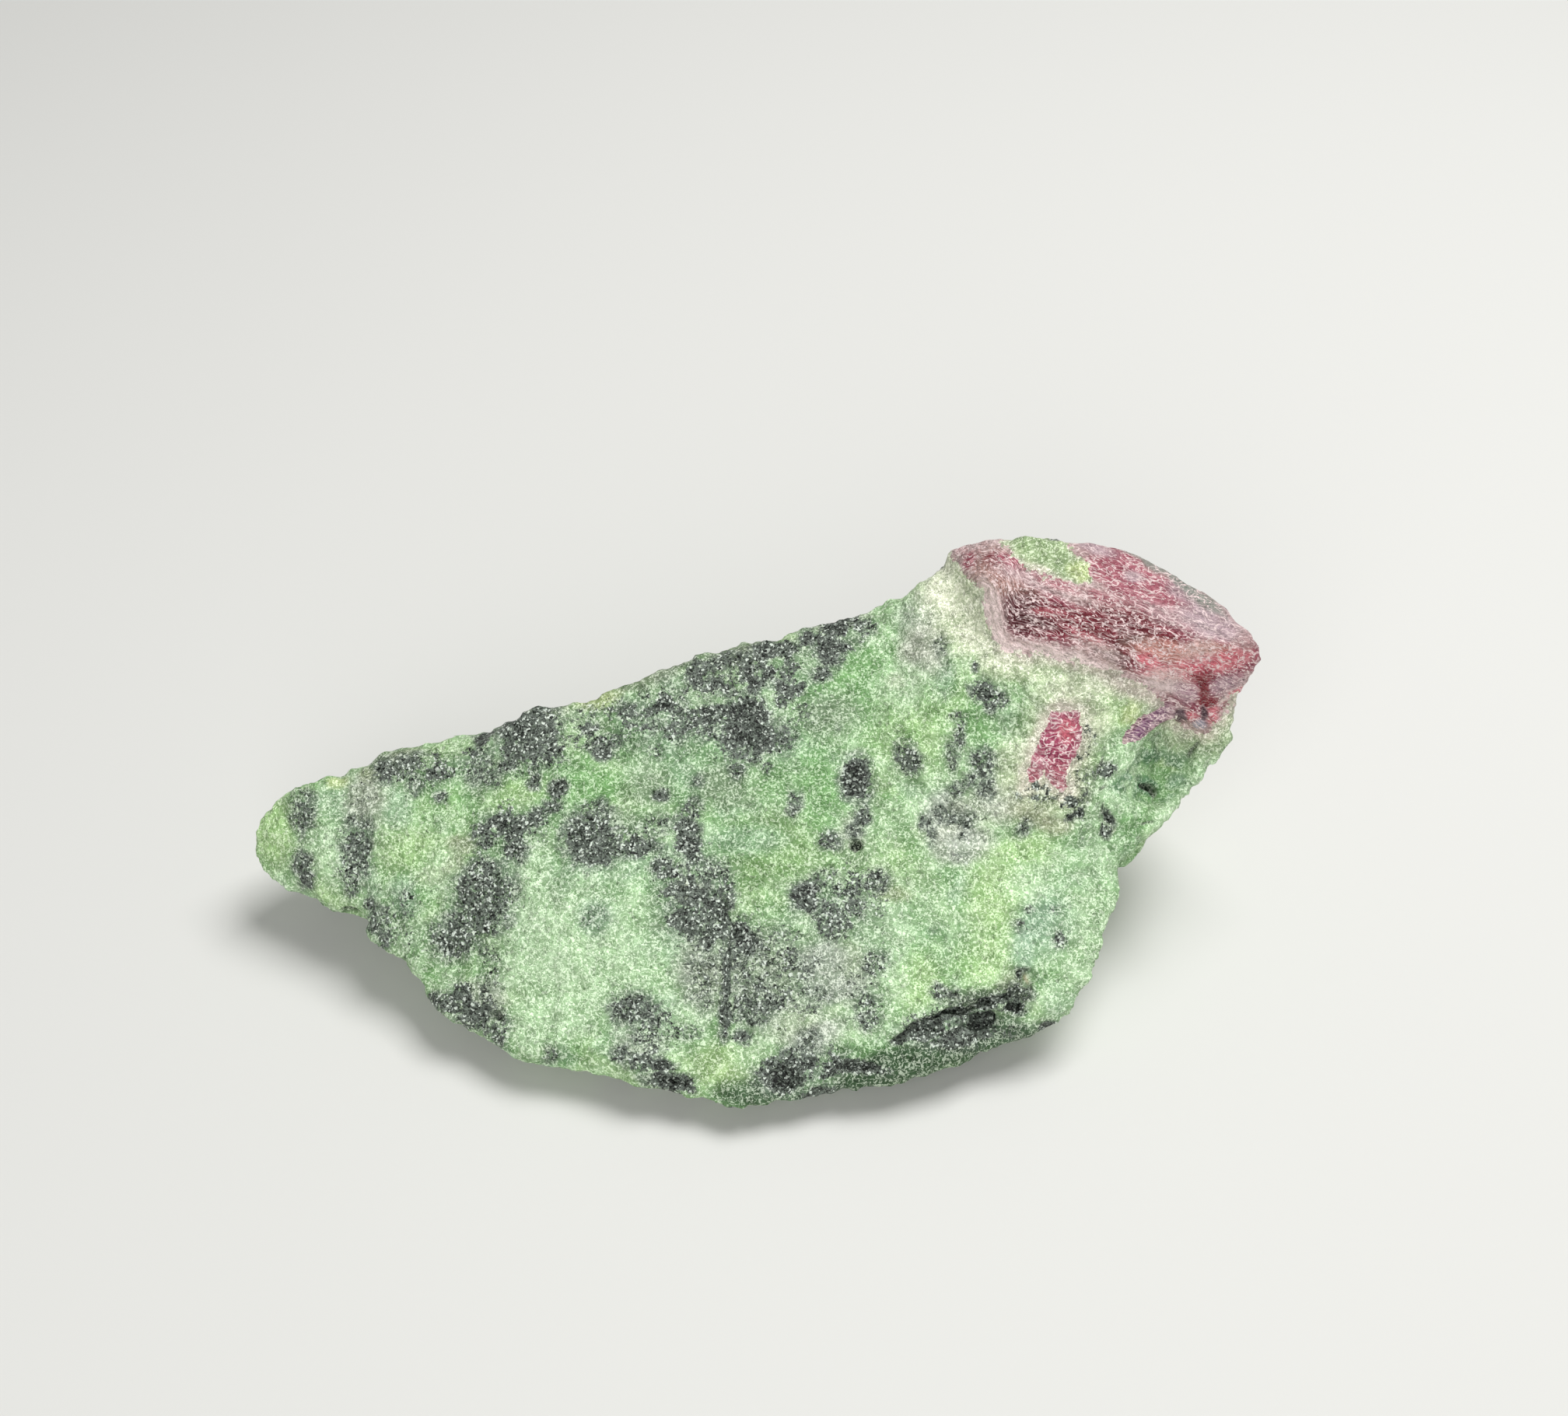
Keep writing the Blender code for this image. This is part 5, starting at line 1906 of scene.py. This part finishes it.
    def dress(self, piece: bpy.types.Object, skin: Skin) -> None:
        """Carve the piece, and keep at its points what the finish reads.

        Args:
            piece: the piece.
            skin: its skin, before it is carved.
        """
        black = self.minerals.hornblende(skin)
        ruby = self.minerals.ruby(skin)
        standing = smoothstep(0.0, self.foot, skin.points[:, 2])
        heights = self.relief.heights(skin, self.minerals, black, ruby) * standing
        moved = skin.points + skin.normals * heights[:, None]
        moved[:, 2] = np.maximum(moved[:, 2], 0.0)
        piece.data.vertices.foreach_set("co", (moved * MM).astype(np.float32).ravel())
        piece.data.update()
        self.keep(piece.data, Mask.ROCK_TONE, self.paint.rock(skin, self.minerals))
        self.keep(piece.data, Mask.RUBY_TONE, self.paint.ruby(skin))
        self.keep(piece.data, Mask.RUBY, ruby)
        self.keep(piece.data, Mask.HORNBLENDE, black)
        self.keep(piece.data, Mask.GEM, self.paint.gem(skin))
        self.keep(piece.data, Mask.PARTING, self.minerals.parting(skin))

    @staticmethod
    def keep(mesh: bpy.types.Mesh, mask: Mask, values: np.ndarray) -> None:
        """Keep a number or a colour at each of the mesh's points.

        Args:
            mesh: the mesh.
            mask: what the values are.
            values: a number or a row for each point.
        """
        kind, name = ("FLOAT", "value") if values.ndim == 1 else ("FLOAT_VECTOR", "vector")
        kept = mesh.attributes.new(mask.value, kind, "POINT")
        kept.data.foreach_set(name, values.astype(np.float32).ravel())


# ---------------------------------------------------------------------------------------------------------
# The studio
# ---------------------------------------------------------------------------------------------------------


@dataclass(frozen=True)
class SoftLight:
    """A square soft light that looks at the stone. Its place is millimetres."""

    name: str
    place: tuple[float, float, float]
    side: float
    watts: float
    colour: tuple[float, float, float] = (1.0, 1.0, 1.0)

    def build(self, target: Vector) -> bpy.types.Object:
        """Hang the light.

        Args:
            target: where it looks, in metres.

        Returns:
            The light.
        """
        data = bpy.data.lights.new(self.name, "AREA")
        data.shape = "SQUARE"
        data.size = self.side * MM
        data.energy = self.watts
        data.color = self.colour
        made = bpy.data.objects.new(self.name, data)
        made.location = Vector(self.place) * MM
        made.rotation_euler = (target - made.location).to_track_quat("-Z", "Y").to_euler()
        bpy.context.scene.collection.objects.link(made)
        return made


@dataclass
class Studio:
    """A plain pale floor, soft lights, a dim room and the camera."""

    sight: Sight = field(default_factory=Sight)
    floor_side: float = 3000.0
    floor_colour: tuple[float, float, float] = (222, 222, 218)
    room_light: float = 0.20
    lights: tuple[SoftLight, ...] = (
        SoftLight("key_light", (150.0, 110.0, 430.0), 260.0, 1.9),
        SoftLight("fill_light", (-60.0, -380.0, 240.0), 340.0, 1.0),
    )

    def build(self) -> None:
        """Set up the floor, the lights, the room and the camera."""
        bpy.context.scene.view_settings.view_transform = "Standard"
        self.floor()
        self.room()
        middle = (CAD_BOX[0] + CAD_BOX[1]) / 2
        for light in self.lights:
            light.build(middle)
        self.sight.camera()

    def floor(self) -> bpy.types.Object:
        """Lay the floor under the stone.

        Returns:
            The floor.
        """
        shape = bmesh.new()
        bmesh.ops.create_grid(shape, x_segments=1, y_segments=1, size=self.floor_side / 2 * MM)
        mesh = bpy.data.meshes.new("floor")
        shape.to_mesh(mesh)
        shape.free()
        made = bpy.data.objects.new("floor", mesh)
        bpy.context.scene.collection.objects.link(made)
        g = Graph("floor_finish")
        inputs = {"Base Color": opaque(self.floor_colour), "Roughness": 0.9, "Specular IOR Level": 0.2}
        shader = g.node("ShaderNodeBsdfPrincipled", {}, inputs)
        g.node("ShaderNodeOutputMaterial", {}, {"Surface": shader.outputs["BSDF"]})
        mesh.materials.append(g.material)
        return made

    def room(self) -> None:
        """Fill the room with dim even light."""
        world = bpy.data.worlds.new("room")
        world.use_nodes = True
        back = world.node_tree.nodes["Background"]
        back.inputs["Color"].default_value = (1.0, 1.0, 1.0, 1.0)
        back.inputs["Strength"].default_value = self.room_light
        bpy.context.scene.world = world


def main() -> None:
    """Build the stone's surface and the studio, in order."""
    logging.basicConfig(level=logging.INFO, format="%(name)s: %(message)s")
    surface = StoneSurface().build()
    log.info("%s: %d points, %d faces", surface.name, len(surface.data.vertices), len(surface.data.polygons))
    Studio().build()
    log.info("studio: floor, lights and camera")


if __name__ == "__main__":
    main()
